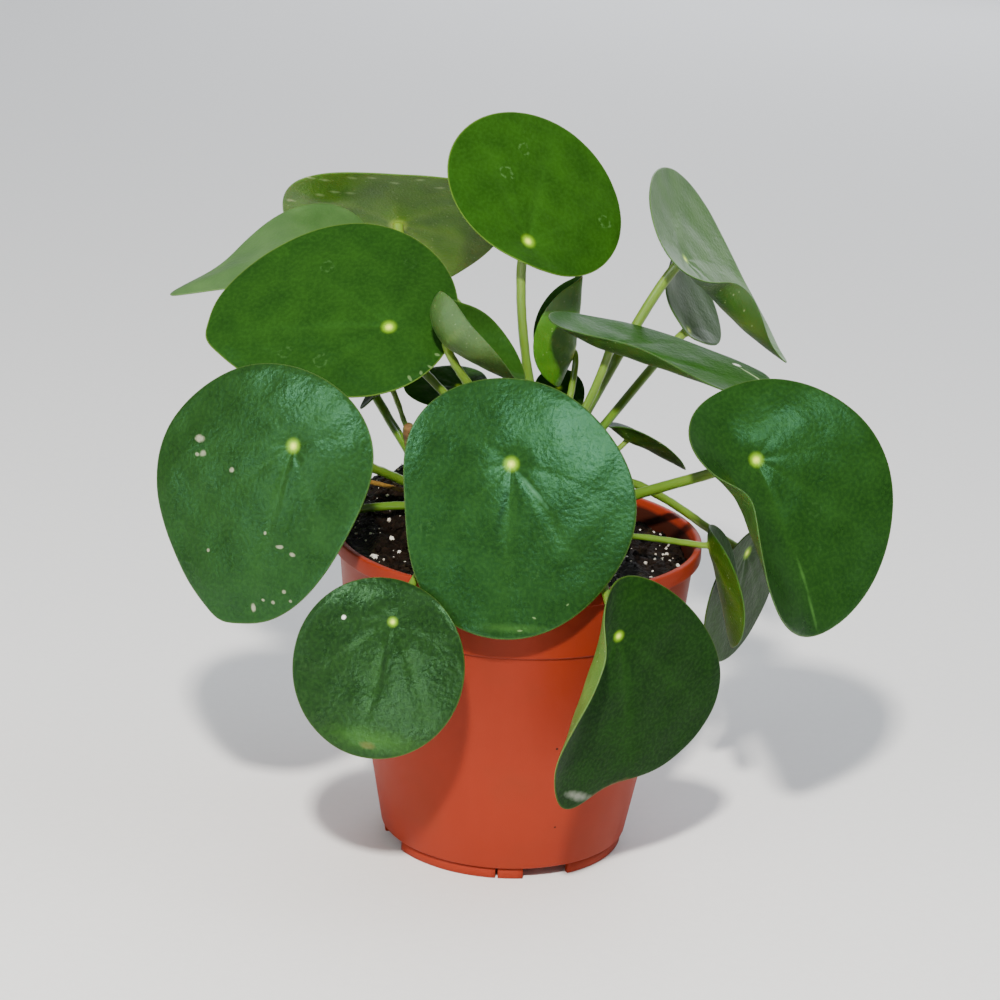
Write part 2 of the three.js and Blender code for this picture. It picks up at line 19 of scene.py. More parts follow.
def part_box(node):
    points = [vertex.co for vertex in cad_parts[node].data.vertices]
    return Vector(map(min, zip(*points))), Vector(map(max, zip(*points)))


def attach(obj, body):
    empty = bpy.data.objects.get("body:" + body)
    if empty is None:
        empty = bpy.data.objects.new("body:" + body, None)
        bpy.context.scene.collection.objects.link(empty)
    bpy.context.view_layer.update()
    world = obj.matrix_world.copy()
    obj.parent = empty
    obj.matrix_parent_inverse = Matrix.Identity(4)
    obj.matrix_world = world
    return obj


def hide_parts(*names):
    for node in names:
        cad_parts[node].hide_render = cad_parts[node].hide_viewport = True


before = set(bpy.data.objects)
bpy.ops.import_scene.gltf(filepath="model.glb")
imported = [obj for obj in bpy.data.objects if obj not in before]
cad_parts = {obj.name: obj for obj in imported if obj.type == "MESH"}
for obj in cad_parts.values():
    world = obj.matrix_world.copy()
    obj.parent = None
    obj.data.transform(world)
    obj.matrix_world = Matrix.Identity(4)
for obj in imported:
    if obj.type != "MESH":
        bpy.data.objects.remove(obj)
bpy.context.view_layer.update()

LOG = logging.getLogger("money_plant")
MM = 0.001
PATTERN_MM = 100.0  # side of a blade's flat pattern, with the joint in its middle
PATTERN_TURN = 7.0  # a little more than a full turn in radians, so that a pattern stays below one

Array = np.ndarray
Rgba = tuple[float, float, float, float]


# ------------------------------------------------------------------------------- small helpers


def linear(hex_colour: str) -> Rgba:
    """Turn an sRGB hex colour into the linear colour that a shader socket takes.

    Args:
        hex_colour: six hex digits after a hash.

    Returns:
        Red, green, blue and an alpha of one.
    """
    parts = [int(hex_colour[i:i + 2], 16) / 255 for i in (1, 3, 5)]
    flat = [p / 12.92 if p <= 0.04045 else ((p + 0.055) / 1.055) ** 2.4 for p in parts]
    return (flat[0], flat[1], flat[2], 1.0)


def add_node(tree: bpy.types.NodeTree, kind: str, inputs: dict[Any, Any] | None = None,
             **settings: Any) -> bpy.types.Node:
    """Add a node with its settings, its links and its socket values.

    Args:
        tree: the material's node tree.
        kind: the node's type without the word ShaderNode in front.
        inputs: for a socket's name or number, a value, a hex colour or the socket to link from.
        settings: the node's own properties.

    Returns:
        The new node.
    """
    node = tree.nodes.new("ShaderNode" + kind)
    for key, value in settings.items():
        setattr(node, key, value)
    for key, value in (inputs or {}).items():
        if isinstance(value, bpy.types.NodeSocket):
            tree.links.new(value, node.inputs[key])
        else:
            node.inputs[key].default_value = linear(value) if isinstance(value, str) else value
    return node


def start_material(name: str) -> tuple[bpy.types.Material, bpy.types.NodeTree]:
    """Make an empty material.

    Args:
        name: the real material's common name and how it was made.

    Returns:
        The material and its node tree.
    """
    material = bpy.data.materials.new(name)
    material.use_nodes = True
    material.node_tree.nodes.clear()
    return material, material.node_tree


def blend(tree: bpy.types.NodeTree, factor: Any, under: Any, over: Any) -> bpy.types.NodeSocket:
    """Lay one colour over another.

    Args:
        tree: the material's node tree.
        factor: how much of the upper colour shows.
        under: the lower colour.
        over: the upper colour.

    Returns:
        The socket of the resulting colour.
    """
    return add_node(tree, "Mix", {0: factor, 6: under, 7: over}, data_type="RGBA").outputs[2]


def flat_place(tree: bpy.types.NodeTree) -> bpy.types.NodeSocket:
    """The place on a blade's flat pattern, in millimetres forward and left of its joint.

    Args:
        tree: the material's node tree.

    Returns:
        The socket of the place.
    """
    flat = add_node(tree, "UVMap", uv_map="pattern").outputs[0]
    return add_node(tree, "Mapping", {
        "Vector": flat, "Location": (-PATTERN_MM / 2, -PATTERN_MM / 2, 0),
        "Scale": (PATTERN_MM, PATTERN_MM, 1)}).outputs[0]


def finish_material(tree: bpy.types.NodeTree, colour: Any, roughness: Any, bump: Any,
                    bump_mm: float, **constants: Any) -> None:
    """End a material in one Principled shader with a bump in front of it.

    Args:
        tree: the material's node tree.
        colour: the base colour or its socket.
        roughness: the roughness or its socket.
        bump: the socket of the height, from 0 to 1.
        bump_mm: what a height of one stands for.
        constants: other values of the shader, set directly on its sockets.
    """
    height = add_node(tree, "Bump", {"Strength": 1.0, "Distance": bump_mm * MM, "Height": bump})
    inputs = {"Base Color": colour, "Roughness": roughness, "Normal": height.outputs[0]}
    inputs.update({key.replace("_", " "): value for key, value in constants.items()})
    shader = add_node(tree, "BsdfPrincipled", inputs)
    add_node(tree, "OutputMaterial", {0: shader.outputs[0]})


def smooth_step(low: float, high: float, value: Array) -> Array:
    """Rise smoothly from 0 at low to 1 at high: t squared times (3 - 2 t)."""
    t = np.clip((value - low) / (high - low), 0.0, 1.0)
    return t * t * (3 - 2 * t)


def ripple(points: Array, wavelength: float, seed: int, waves: int = 14) -> Array:
    """Smooth seeded noise.

    The sum of sine waves that run in random directions, each about one wavelength long, scaled
    so that it is as strong with many waves as with few.

    Args:
        points: (n, 3) places.
        wavelength: rough size of a hump.
        seed: picks the directions and phases.
        waves: how many waves are added.

    Returns:
        (n,) values, mostly between -1 and 1.
    """
    rng = np.random.default_rng(seed)
    way = rng.normal(size=(waves, 3))
    way /= np.linalg.norm(way, axis=1, keepdims=True)
    pace = 2 * math.pi / (wavelength * rng.uniform(0.7, 1.4, waves))
    phase = rng.uniform(0, 2 * math.pi, waves)
    return np.sin(points @ way.T * pace + phase).sum(axis=1) * math.sqrt(2 / waves) * 0.7


def unit(vectors: Array) -> Array:
    """Give each row a length of one."""
    return vectors / np.maximum(np.linalg.norm(vectors, axis=-1, keepdims=True), 1e-12)


def compass(angle: float, rise: float) -> Array:
    """Direction at a compass angle that climbs by rise, both in degrees."""
    turn, climb = math.radians(angle), math.radians(rise)
    return np.array([math.cos(turn) * math.cos(climb), math.sin(turn) * math.cos(climb),
                     math.sin(climb)])


def degrees_off(phi: Array, angle: float) -> Array:
    """How far angles in radians lie from one in degrees, as degrees from -180 to 180."""
    return (np.degrees(phi) - angle + 180) % 360 - 180


# ------------------------------------------------------------------------------ mesh building


@dataclass
class Shell:
    """A mesh in the making: corners in millimetres from the pot's axis at its foot."""

    points: Array
    quads: Array
    triangles: Array
    uv: Array
    slots: Array
    marks: dict[str, Array] = field(default_factory=dict)


def joined(shells: list[Shell]) -> Shell:
    """Put shells into one.

    Args:
        shells: the shells, with the same marks.

    Returns:
        One shell with all their faces, quads first.
    """
    starts = np.cumsum([0] + [len(s.points) for s in shells[:-1]])
    quads = [s.quads + n for s, n in zip(shells, starts)]
    triangles = [s.triangles + n for s, n in zip(shells, starts)]
    quad_slots = [s.slots[:len(s.quads)] for s in shells]
    triangle_slots = [s.slots[len(s.quads):] for s in shells]
    marks = {key: np.concatenate([s.marks[key] for s in shells]) for key in shells[0].marks}
    return Shell(np.concatenate([s.points for s in shells]), np.concatenate(quads),
                 np.concatenate(triangles), np.concatenate([s.uv for s in shells]),
                 np.concatenate(quad_slots + triangle_slots), marks)


def woven(rows: Array, uv: Array, first: Array, last: Array, end_uv: Array | None = None) -> Shell:
    """Skin a grid of points that closes on itself sideways.

    Each cell of the grid becomes a quad. A single point before the first row and after the last
    one closes the ends with a fan of triangles. With the columns running anticlockwise and the
    rows running upwards, as seen from outside, the faces point outwards.

    Args:
        rows: (rows, columns, 3) places.
        uv: (rows, columns, 2) places on the flat pattern.
        first: (3,) point that closes the start.
        last: (3,) point that closes the end.
        end_uv: (2,) pattern place of both points, where it isn't the mean of their rows.

    Returns:
        The shell, all in slot 0.
    """
    count, around = rows.shape[:2]
    number = np.arange(count * around).reshape(count, around)
    here, above = number[:-1], number[1:]
    quads = np.stack([here, np.roll(here, -1, axis=1), np.roll(above, -1, axis=1), above],
                     axis=-1).reshape(-1, 4)
    points, flat = rows.reshape(-1, 3), uv.reshape(-1, 2)
    fans = []
    for end, row, flip in ((first, number[0], True), (last, number[-1], False)):
        tip = np.full(around, len(points))
        points = np.vstack([points, end])
        flat = np.vstack([flat, flat[row].mean(axis=0) if end_uv is None else end_uv])
        pair = (np.roll(row, -1), row) if flip else (row, np.roll(row, -1))
        fans.append(np.stack([*pair, tip], axis=-1))
    triangles = np.concatenate(fans)
    return Shell(points, quads, triangles, flat, np.zeros(len(quads) + len(triangles), int))


def tube(path: Array, radii: Array, sides: int, reference: Array, flatten: float = 1.0) -> Shell:
    """Carry a circle along a path.

    At each path point the circle lies across the path's direction. Its first axis is the part of
    the reference that is square to the path, and its second is square to both.

    Args:
        path: (n, 3) points.
        radii: (n,) radius at each point.
        sides: corners of the circle.
        reference: a direction that the path never takes.
        flatten: height of the section against its width.

    Returns:
        A closed shell whose pattern runs along the path first and round it second, both from
        0 to 1.
    """
    along = unit(np.gradient(path, axis=0))
    across = unit(reference - (along @ reference)[:, None] * along)
    third = np.cross(along, across)
    turn = np.linspace(0, 2 * math.pi, sides, endpoint=False)
    ring = (np.cos(turn)[None, :, None] * across[:, None]
            + flatten * np.sin(turn)[None, :, None] * third[:, None])
    rows = path[:, None] + ring * radii[:, None, None]
    steps = np.linspace(0, 1, len(path))
    round_part = 1 - np.abs(1 - turn / math.pi)
    uv = np.stack(np.broadcast_arrays(steps[:, None], round_part[None, :]), axis=-1)
    return woven(rows, uv, path[0], path[-1])


def lathe(profile: Array, segments: int) -> Shell:
    """Turn a profile round the Z axis.

    The profile's (radius, height) points run up the outside, over the edge and down the inside,
    and each one becomes a ring of points. The first and the last lie on the axis and stay single.

    Args:
        profile: (n, 2) points.
        segments: columns round the axis.

    Returns:
        A shell whose pattern is the compass angle in turns and the length along the profile.
    """
    turn = np.linspace(0, 2 * math.pi, segments, endpoint=False)
    rings = profile[1:-1]
    rows = np.stack([rings[:, :1] * np.cos(turn), rings[:, :1] * np.sin(turn),
                     np.repeat(rings[:, 1:], segments, axis=1)], axis=-1)
    length = np.concatenate([[0], np.cumsum(np.linalg.norm(np.diff(rings, axis=0), axis=1))])
    part = 1 - np.abs(1 - turn / math.pi)
    uv = np.stack(np.broadcast_arrays(part[None, :], length[:, None] / length[-1]), axis=-1)
    return woven(rows, uv, *(np.array([0.0, 0.0, profile[i, 1]]) for i in (0, -1)))


def rounded(corners: list[tuple[float, float, float]], steps: int = 4) -> Array:
    """Round the corners of a profile.

    Each corner is replaced by points on a curve that leaves the corner's two sides at the same
    distance from it: the curve is the quadratic one through the corner's two cut points with the
    corner itself as its pull.

    Args:
        corners: radius, height and rounding distance of each corner.
        steps: points on each rounded corner.

    Returns:
        (n, 2) points.
    """
    points = np.array([c[:2] for c in corners])
    out = [points[:1]]
    t = np.linspace(0, 1, steps)[:, None]
    for before, corner, after, cut in zip(points, points[1:], points[2:],
                                          [c[2] for c in corners[1:]]):
        if cut <= 0:
            out.append(corner[None])
            continue
        start = corner + (before - corner) * cut / np.linalg.norm(before - corner)
        end = corner + (after - corner) * cut / np.linalg.norm(after - corner)
        out.append((1 - t) ** 2 * start + 2 * t * (1 - t) * corner + t ** 2 * end)
    out.append(points[-1:])
    return np.concatenate(out)


def bezier(corners: list[Array], steps: int) -> Array:
    """Points on the Bezier curve with the given corners.

    The curve is the sum of the corners, each weighted with its Bernstein polynomial.

    Args:
        corners: three or four corners.
        steps: how many points.

    Returns:
        (steps, 3) points.
    """
    t = np.linspace(0, 1, steps)[:, None]
    top = len(corners) - 1
    return sum(math.comb(top, i) * t ** i * (1 - t) ** (top - i) * c
               for i, c in enumerate(corners))


class Foot:
    """Where the pot's axis meets the ground, and how shells become objects there."""

    def __init__(self) -> None:
        """Read the pot's place from its node."""
        low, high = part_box("pot")
        middle = (low + high) / 2
        self.place = np.array([middle.x, middle.y, low.z])

    def build(self, name: str, shell: Shell, materials: list[bpy.types.Material], slot: str,
              nodes: list[str], flat: bool = False) -> bpy.types.Object:
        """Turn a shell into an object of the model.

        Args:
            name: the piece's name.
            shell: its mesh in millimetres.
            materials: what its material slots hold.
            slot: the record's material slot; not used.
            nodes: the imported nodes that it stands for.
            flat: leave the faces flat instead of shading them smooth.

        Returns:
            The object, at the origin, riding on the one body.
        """
        mesh = bpy.data.meshes.new(name)
        faces = len(shell.quads) + len(shell.triangles)
        corners = np.concatenate([shell.quads.ravel(), shell.triangles.ravel()])
        sizes = np.concatenate([np.full(len(shell.quads), 4), np.full(len(shell.triangles), 3)])
        mesh.vertices.add(len(shell.points))
        mesh.vertices.foreach_set("co", (shell.points * MM + self.place).ravel())
        mesh.loops.add(len(corners))
        mesh.loops.foreach_set("vertex_index", corners.astype(np.int32))
        mesh.polygons.add(faces)
        starts = np.concatenate([[0], np.cumsum(sizes)[:-1]])
        mesh.polygons.foreach_set("loop_start", starts.astype(np.int32))
        mesh.polygons.foreach_set("material_index", shell.slots.astype(np.int32))
        mesh.polygons.foreach_set("use_smooth", np.full(faces, not flat))
        layer = mesh.uv_layers.new(name="pattern")
        layer.data.foreach_set("uv", shell.uv[corners].ravel())
        for key, values in shell.marks.items():
            mark = mesh.attributes.new(key, "FLOAT", "POINT")
            mark.data.foreach_set("value", values.astype(np.float32))
        mesh.update(calc_edges=True)
        mesh.validate()
        for material in materials:
            mesh.materials.append(material)
        piece = bpy.data.objects.new(name, mesh)
        bpy.context.scene.collection.objects.link(piece)
        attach(piece, "root")
        if nodes:
            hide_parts(*nodes)
        LOG.info("%s: %d faces", name, faces)
        return piece


# ----------------------------------------------------------------------------------- finishes


@dataclass(frozen=True)
class MouldedPolypropylene:
    """Injection-moulded polypropylene, the terracotta colour of nursery pots.

    It gives the eye a soft satin shine with a faint vertical unevenness from the mould, a fine
    matt grain, darker dust rubbed into it, and a few black specks of soil. The unevenness is
    about 17 mm wide and 110 mm high, the clouds of dust are about 22 mm across.
    """

    base: str = "#8f301b"
    shaded: str = "#842a16"
    dust: str = "#7c3420"
    soil: str = "#2a1710"
    roughness: float = 0.45
    grain_mm: float = 0.35
    specks_mm: float = 9.0

    def build(self) -> bpy.types.Material:
        """Lay out the nodes: colour drift, dust, specks, a darker upper inner wall, grain."""
        material, tree = start_material("Moulded polypropylene, terracotta")
        place = add_node(tree, "TexCoord").outputs["Object"]
        streak = add_node(tree, "Mapping", {"Vector": place, "Scale": (60, 60, 9)}).outputs[0]
        drift = add_node(tree, "TexNoise", {"Vector": streak, "Scale": 1.0, "Detail": 3.0})
        cloud = add_node(tree, "TexNoise", {"Vector": place, "Scale": 45.0, "Detail": 5.0})
        patch = add_node(tree, "MapRange", {0: cloud.outputs[0], 1: 0.52, 2: 0.72, 4: 0.35})
        colour = blend(tree, drift.outputs[0], self.shaded, self.base)
        colour = blend(tree, patch.outputs[0], colour, self.dust)
        cell = add_node(tree, "TexVoronoi", {"Vector": place, "Scale": 1000 / self.specks_mm})
        near = add_node(tree, "MapRange", {0: cell.outputs["Distance"], 1: 0.035, 2: 0.055, 3: 1.0,
                                           4: 0.0})
        chosen = add_node(tree, "SeparateColor", {0: cell.outputs["Color"]})
        rare = add_node(tree, "Math", {0: chosen.outputs[0], 1: 0.62}, operation="GREATER_THAN")
        speck = add_node(tree, "Math", {0: near.outputs[0], 1: rare.outputs[0]},
                         operation="MULTIPLY")
        colour = blend(tree, speck.outputs[0], colour, self.soil)
        # Darker over the upper inner wall, in blotches, mixed towards the soil colour.
        wall_darkened = add_node(tree, "Attribute", attribute_name="wall_darkened").outputs["Fac"]
        wall_dark_blotch = add_node(tree, "Math", {0: cloud.outputs[0], 1: 0.75, 2: wall_darkened},
                         operation="MULTIPLY_ADD")
        wall_dark = add_node(tree, "MapRange", {0: wall_dark_blotch.outputs[0], 1: 0.62, 2: 1.05, 4: 0.92})
        colour = blend(tree, wall_dark.outputs[0], colour, self.soil)
        grain = add_node(tree, "TexNoise", {"Vector": place, "Scale": 1000 / self.grain_mm,
                                            "Detail": 2.0})
        gloss = add_node(tree, "MapRange", {0: cloud.outputs[0], 1: 0.3, 2: 0.7,
                                            3: self.roughness, 4: self.roughness + 0.12})
        finish_material(tree, colour, gloss.outputs[0], grain.outputs[0], 0.05, IOR=1.49,
                        Specular_IOR_Level=0.12)
        return material


@dataclass(frozen=True)
class DampPottingSoil:
    """Peat potting soil, damp and dressed with fibres.

    It gives the eye a near-black brown with lighter crumbs, moss-brown fibre and a rough, broken
    surface. Its patches of damp and of moss are about 6 mm across.
    """

    dark: str = "#0d0907"
    light: str = "#2e221a"
    moss: str = "#3e3820"
    crumb_mm: float = 1.6

    def build(self) -> bpy.types.Material:
        """Lay out the nodes: crumbs over cloudy dampness."""
        material, tree = start_material("Peat potting soil, damp")
        place = add_node(tree, "TexCoord").outputs["Object"]
        crumb = add_node(tree, "TexVoronoi", {"Vector": place, "Scale": 1000 / self.crumb_mm})
        cloud = add_node(tree, "TexNoise", {"Vector": place, "Scale": 160.0, "Detail": 6.0})
        tone = add_node(tree, "SeparateColor", {0: crumb.outputs["Color"]})
        mixed = add_node(tree, "Math", {0: tone.outputs[0], 1: cloud.outputs[0]},
                         operation="MULTIPLY")
        colour = blend(tree, mixed.outputs[0], self.dark, self.light)
        green = add_node(tree, "MapRange", {0: cloud.outputs[0], 1: 0.6, 2: 0.72, 4: 0.6})
        colour = blend(tree, green.outputs[0], colour, self.moss)
        finish_material(tree, colour, 0.85, crumb.outputs["Distance"], 0.9,
                        Specular_IOR_Level=0.3)
        return material


@dataclass(frozen=True)
class ExpandedPerlite:
    """Expanded perlite, a white volcanic glass foam mixed into the soil.

    It gives the eye small bright, matt, pitted grains with brown stains. The stains are about
    2.4 mm apart and the pits about 0.6 mm.
    """

    white: str = "#e9e6dc"
    stain: str = "#8d7a63"

    def build(self) -> bpy.types.Material:
        """Lay out the nodes: stains and pits."""
        material, tree = start_material("Expanded perlite, crushed")
        place = add_node(tree, "TexCoord").outputs["Object"]
        stain = add_node(tree, "TexNoise", {"Vector": place, "Scale": 420.0, "Detail": 4.0})
        amount = add_node(tree, "MapRange", {0: stain.outputs[0], 1: 0.45, 2: 0.7, 4: 0.8})
        colour = blend(tree, amount.outputs[0], self.white, self.stain)
        pits = add_node(tree, "TexVoronoi", {"Vector": place, "Scale": 1800.0})
        finish_material(tree, colour, 0.8, pits.outputs["Distance"], 0.3)
        return material


@dataclass(frozen=True)
class BarkFibre:
    """Stem bark, corky and brown with green where it is young.

    It gives the eye a dull brown-green with darker rings about 2.4 mm apart and lighter corky
    patches about 4 mm across.
    """

    young: str = "#6d7a2a"
    cork: str = "#7a5a35"
    dark: str = "#40301c"

    def build(self) -> bpy.types.Material:
        """Lay out the nodes: rings along the stem and corky patches."""
        material, tree = start_material("Stem bark, corky")
        place = add_node(tree, "TexCoord").outputs["Object"]
        rings = add_node(tree, "Mapping", {"Vector": place, "Scale": (90, 90, 420)}).outputs[0]
        ring = add_node(tree, "TexNoise", {"Vector": rings, "Scale": 1.0, "Detail": 4.0})
        patch = add_node(tree, "TexNoise", {"Vector": place, "Scale": 260.0, "Detail": 3.0})
        green = add_node(tree, "MapRange", {0: patch.outputs[0], 1: 0.4, 2: 0.6})
        colour = blend(tree, green.outputs[0], self.cork, self.young)
        shade = add_node(tree, "MapRange", {0: ring.outputs[0], 1: 0.35, 2: 0.6, 3: 0.8, 4: 0.0})
        colour = blend(tree, shade.outputs[0], colour, self.dark)
        finish_material(tree, colour, 0.7, ring.outputs[0], 0.5)
        return material


@dataclass(frozen=True)
class DryPaperSkin:
    """Withered stipules and cut leaf stalks, dried in the air.

    They give the eye a dull orange-brown paper with fibres about 1.1 mm wide.
    """

    light: str = "#a9692c"
    dark: str = "#5b3316"

    def build(self) -> bpy.types.Material:
        """Lay out the nodes: fibres along the piece."""
        material, tree = start_material("Withered stipule, air-dried")
        place = add_node(tree, "TexCoord").outputs["Object"]
        fibre = add_node(tree, "TexNoise", {"Vector": place, "Scale": 900.0, "Detail": 4.0})
        colour = blend(tree, fibre.outputs[0], self.dark, self.light)
        finish_material(tree, colour, 0.75, fibre.outputs[0], 0.25)
        return material


@dataclass(frozen=True)
class StalkSkin:
    """Petiole skin: smooth, juicy green with fine length-wise streaks.

    It gives the eye a satin, slightly see-through stalk, paler near the blade. The streaks run
    along the stalk, and the grain is about 0.7 mm, as coarse as it needs to show.
    """

    name: str
    base: str
    pale: str

    def build(self) -> bpy.types.Material:
        """Lay out the nodes: streaks along the stalk, paler towards the blade."""
        material, tree = start_material(f"Petiole skin, {self.name}")
        flat = add_node(tree, "UVMap", uv_map="pattern").outputs[0]
        along = add_node(tree, "SeparateXYZ", {0: flat}).outputs[0]
        streaks = add_node(tree, "Mapping", {"Vector": flat, "Scale": (6, 26, 1)}).outputs[0]
        streak = add_node(tree, "TexNoise", {"Vector": streaks, "Scale": 1.0, "Detail": 3.0})
        paler = add_node(tree, "MapRange", {0: along, 1: 0.25, 2: 1.0, 3: 0.1, 4: 0.95})
        colour = blend(tree, paler.outputs[0], self.base, self.pale)
        shade = add_node(tree, "MapRange", {0: streak.outputs[0], 1: 0.35, 2: 0.7, 4: 0.45})
        colour = blend(tree, shade.outputs[0], colour, self.base)
        place = add_node(tree, "TexCoord").outputs["Object"]
        fine = add_node(tree, "TexNoise", {"Vector": place, "Scale": 1500.0})
        finish_material(tree, colour, 0.4, fine.outputs[0], 0.04, Subsurface_Weight=0.15,
                        Subsurface_Scale=0.002)
        return material


@dataclass(frozen=True)
class Spot:
    """A mark on a blade, in millimetres from the joint: forward, left, half sizes and turn."""

    forward: float
    left: float
    length: float
    width: float
    turn: float
    colour: str
    strength: float = 0.9
    soft: float = 0.6


def add_spots(tree: bpy.types.NodeTree, place: Any, colour: Any, spots: tuple[Spot, ...]) -> Any:
    """Paint spots over a colour: ragged ellipses, each with its own place, size and turn.

    Args:
        tree: the material's nodes.
        place: the blade's flat place in millimetres.
        colour: what lies under the spots.
        spots: the marks.

    Returns:
        The socket of the painted colour.
    """
    if not spots:
        return colour
    wobble = add_node(tree, "TexNoise", {"Vector": place, "Scale": 0.5, "Detail": 2.0})
    for spot in spots:
        local = add_node(tree, "Mapping", {
            "Vector": place, "Location": (spot.forward, spot.left, 0),
            "Rotation": (0, 0, math.radians(spot.turn)),
            "Scale": (spot.length, spot.width, 1)}, vector_type="TEXTURE").outputs[0]
        away = add_node(tree, "VectorMath", {0: local}, operation="LENGTH").outputs["Value"]
        ragged = add_node(tree, "Math", {0: wobble.outputs[0], 1: 0.9, 2: away},
                          operation="MULTIPLY_ADD")
        cover = add_node(tree, "MapRange", {0: ragged.outputs[0], 1: 1.6 - spot.soft, 2: 1.6,
                                            3: spot.strength, 4: 0.0})
        colour = blend(tree, cover.outputs[0], colour, spot.colour)
    return colour


@dataclass(frozen=True)
class Cuticle:
    """The waxy skin of a leaf's upper side.

    It gives the eye a deep green with a satin shine, small puckers, soft paler rays that start
    at a pale dot over the stalk, faint rings left by drops of hard water, and a thin pale rim.
    The scales are per millimetre: clouds of tone about 11 mm across, drops about 12 mm apart,
    puckers about 2 mm across, and a fine net a little over 1 mm wide.
    """

    name: str
    deep: str
    light: str
    ray: str = "#3f7028"
    halo: str = "#86b818"
    dot: str = "#e6f550"
    rim: str = "#7c9a3c"
    scale: str = "#6a9058"
    rings: float = 0.25
    eye: float = 0.75
    gloss: float = 0.2
    sheen: str = "#94e6b0"
    rim_cover: float = 0.12
    roughness: float = 0.45
    pucker_mm: float = 0.12
    spots: tuple[Spot, ...] = ()
    cloud_scale: float = 0.09
    drop_scale: float = 0.085
    pucker_scale: float = 0.55
    net_scale: float = 0.8

    def greens(self, tree: bpy.types.NodeTree, cloud: Any, fine: Any) -> Any:
        """Two greens in clouds, with paler rays along the veins and a fine pale net.

        Args:
            tree: the material's nodes.
            cloud: the socket of the broad noise.
            fine: the socket of the fine noise.

        Returns:
            The socket of the colour.
        """
        tone = add_node(tree, "MapRange", {0: cloud, 1: 0.3, 2: 0.7})
        colour = blend(tree, tone.outputs[0], self.deep, self.light)
        ray = add_node(tree, "Attribute", attribute_name="vein").outputs["Fac"]
        amount = add_node(tree, "Math", {0: ray, 1: 0.1}, operation="MULTIPLY")
        colour = blend(tree, amount.outputs[0], colour, self.ray)
        net = add_node(tree, "MapRange", {0: fine, 1: 0.42, 2: 0.62, 3: 0.0, 4: 0.1})
        return blend(tree, net.outputs[0], colour, self.ray)

    def water_rings(self, tree: bpy.types.NodeTree, place: Any, fine: Any, colour: Any) -> Any:
        """Rings of lime: a thin band round some cells of a stirred pattern, worn in places.

        Args:
            tree: the material's nodes.
            place: the blade's flat place in millimetres.
            fine: the socket of the fine noise that wears the rings.
            colour: what lies under the rings.

        Returns:
            The socket of the colour.
        """
        stir = add_node(tree, "TexNoise", {"Vector": place, "Scale": 0.3, "Detail": 2.0})
        drift = add_node(tree, "VectorMath", {0: stir.outputs["Color"], 1: (3, 3, 0), 2: place},
                         operation="MULTIPLY_ADD").outputs[0]
        cell = add_node(tree, "TexVoronoi", {"Vector": drift, "Scale": self.drop_scale})
        ring = add_node(tree, "MapRange", {0: cell.outputs["Distance"], 1: 0.12, 2: 0.17})
        hole = add_node(tree, "MapRange", {0: cell.outputs["Distance"], 1: 0.17, 2: 0.22, 3: 1.0,
                                           4: 0.0})
        band = add_node(tree, "Math", {0: ring.outputs[0], 1: hole.outputs[0]},
                        operation="MULTIPLY")
        pick = add_node(tree, "SeparateColor", {0: cell.outputs["Color"]})
        some = add_node(tree, "MapRange", {0: pick.outputs[0], 1: 0.35, 2: 0.95, 4: self.rings})
        worn = add_node(tree, "MapRange", {0: fine, 1: 0.44, 2: 0.6})
        band = add_node(tree, "Math", {0: band.outputs[0], 1: worn.outputs[0]},
                        operation="MULTIPLY")
        mark = add_node(tree, "Math", {0: band.outputs[0], 1: some.outputs[0]},
                        operation="MULTIPLY")
        return blend(tree, mark.outputs[0], colour, self.scale)

    def eye_and_rim(self, tree: bpy.types.NodeTree, place: Any, colour: Any) -> Any:
        """The pale dot over the stalk in its soft halo, and the pale rim.

        Args:
            tree: the material's nodes.
            place: the blade's flat place in millimetres.
            colour: what lies under them.

        Returns:
            The socket of the colour.
        """
        reach = add_node(tree, "VectorMath", {0: place}, operation="LENGTH").outputs["Value"]
        halo = add_node(tree, "MapRange", {0: reach, 1: 0.8 * self.eye, 2: 4.6 * self.eye,
                                           3: 0.8, 4: 0.0}, interpolation_type="SMOOTHERSTEP")
        colour = blend(tree, halo.outputs[0], colour, self.halo)
        dot = add_node(tree, "MapRange", {0: reach, 1: 0.3 * self.eye, 2: 2.0 * self.eye,
                                          3: 1.0, 4: 0.0})
        colour = blend(tree, dot.outputs[0], colour, self.dot)
        margin = add_node(tree, "Attribute", attribute_name="margin").outputs["Fac"]
        edge = add_node(tree, "MapRange", {0: margin, 1: 0.0, 2: 0.4, 3: self.rim_cover,
                                           4: 0.0})
        return blend(tree, edge.outputs[0], colour, self.rim)

    def build(self) -> bpy.types.Material:
        """Lay out the nodes: greens, rings, eye, rim, spots, puckers."""
        material, tree = start_material(f"Leaf cuticle, waxy, {self.name}")
        place = flat_place(tree)
        cloud = add_node(tree, "TexNoise", {"Vector": place, "Scale": self.cloud_scale,
                                            "Detail": 4.0})
        fine = add_node(tree, "TexNoise", {"Vector": place, "Scale": self.net_scale,
                                           "Detail": 4.0})
        pucker = add_node(tree, "TexVoronoi", {"Vector": place, "Scale": self.pucker_scale})
        colour = self.greens(tree, cloud.outputs[0], fine.outputs[0])
        colour = self.water_rings(tree, place, fine.outputs[0], colour)
        colour = self.eye_and_rim(tree, place, colour)
        colour = add_spots(tree, place, colour, self.spots)
        bumps = add_node(tree, "Math", {0: pucker.outputs["Distance"], 1: 0.5,
                                        2: fine.outputs[0]}, operation="MULTIPLY_ADD")
        gloss = add_node(tree, "MapRange", {0: cloud.outputs[0], 1: 0.3, 2: 0.7,
                                            3: self.roughness - 0.04, 4: self.roughness + 0.06})
        finish_material(tree, colour, gloss.outputs[0], bumps.outputs[0], self.pucker_mm,
                        Specular_IOR_Level=self.gloss, Specular_Tint=linear(self.sheen))
        return material


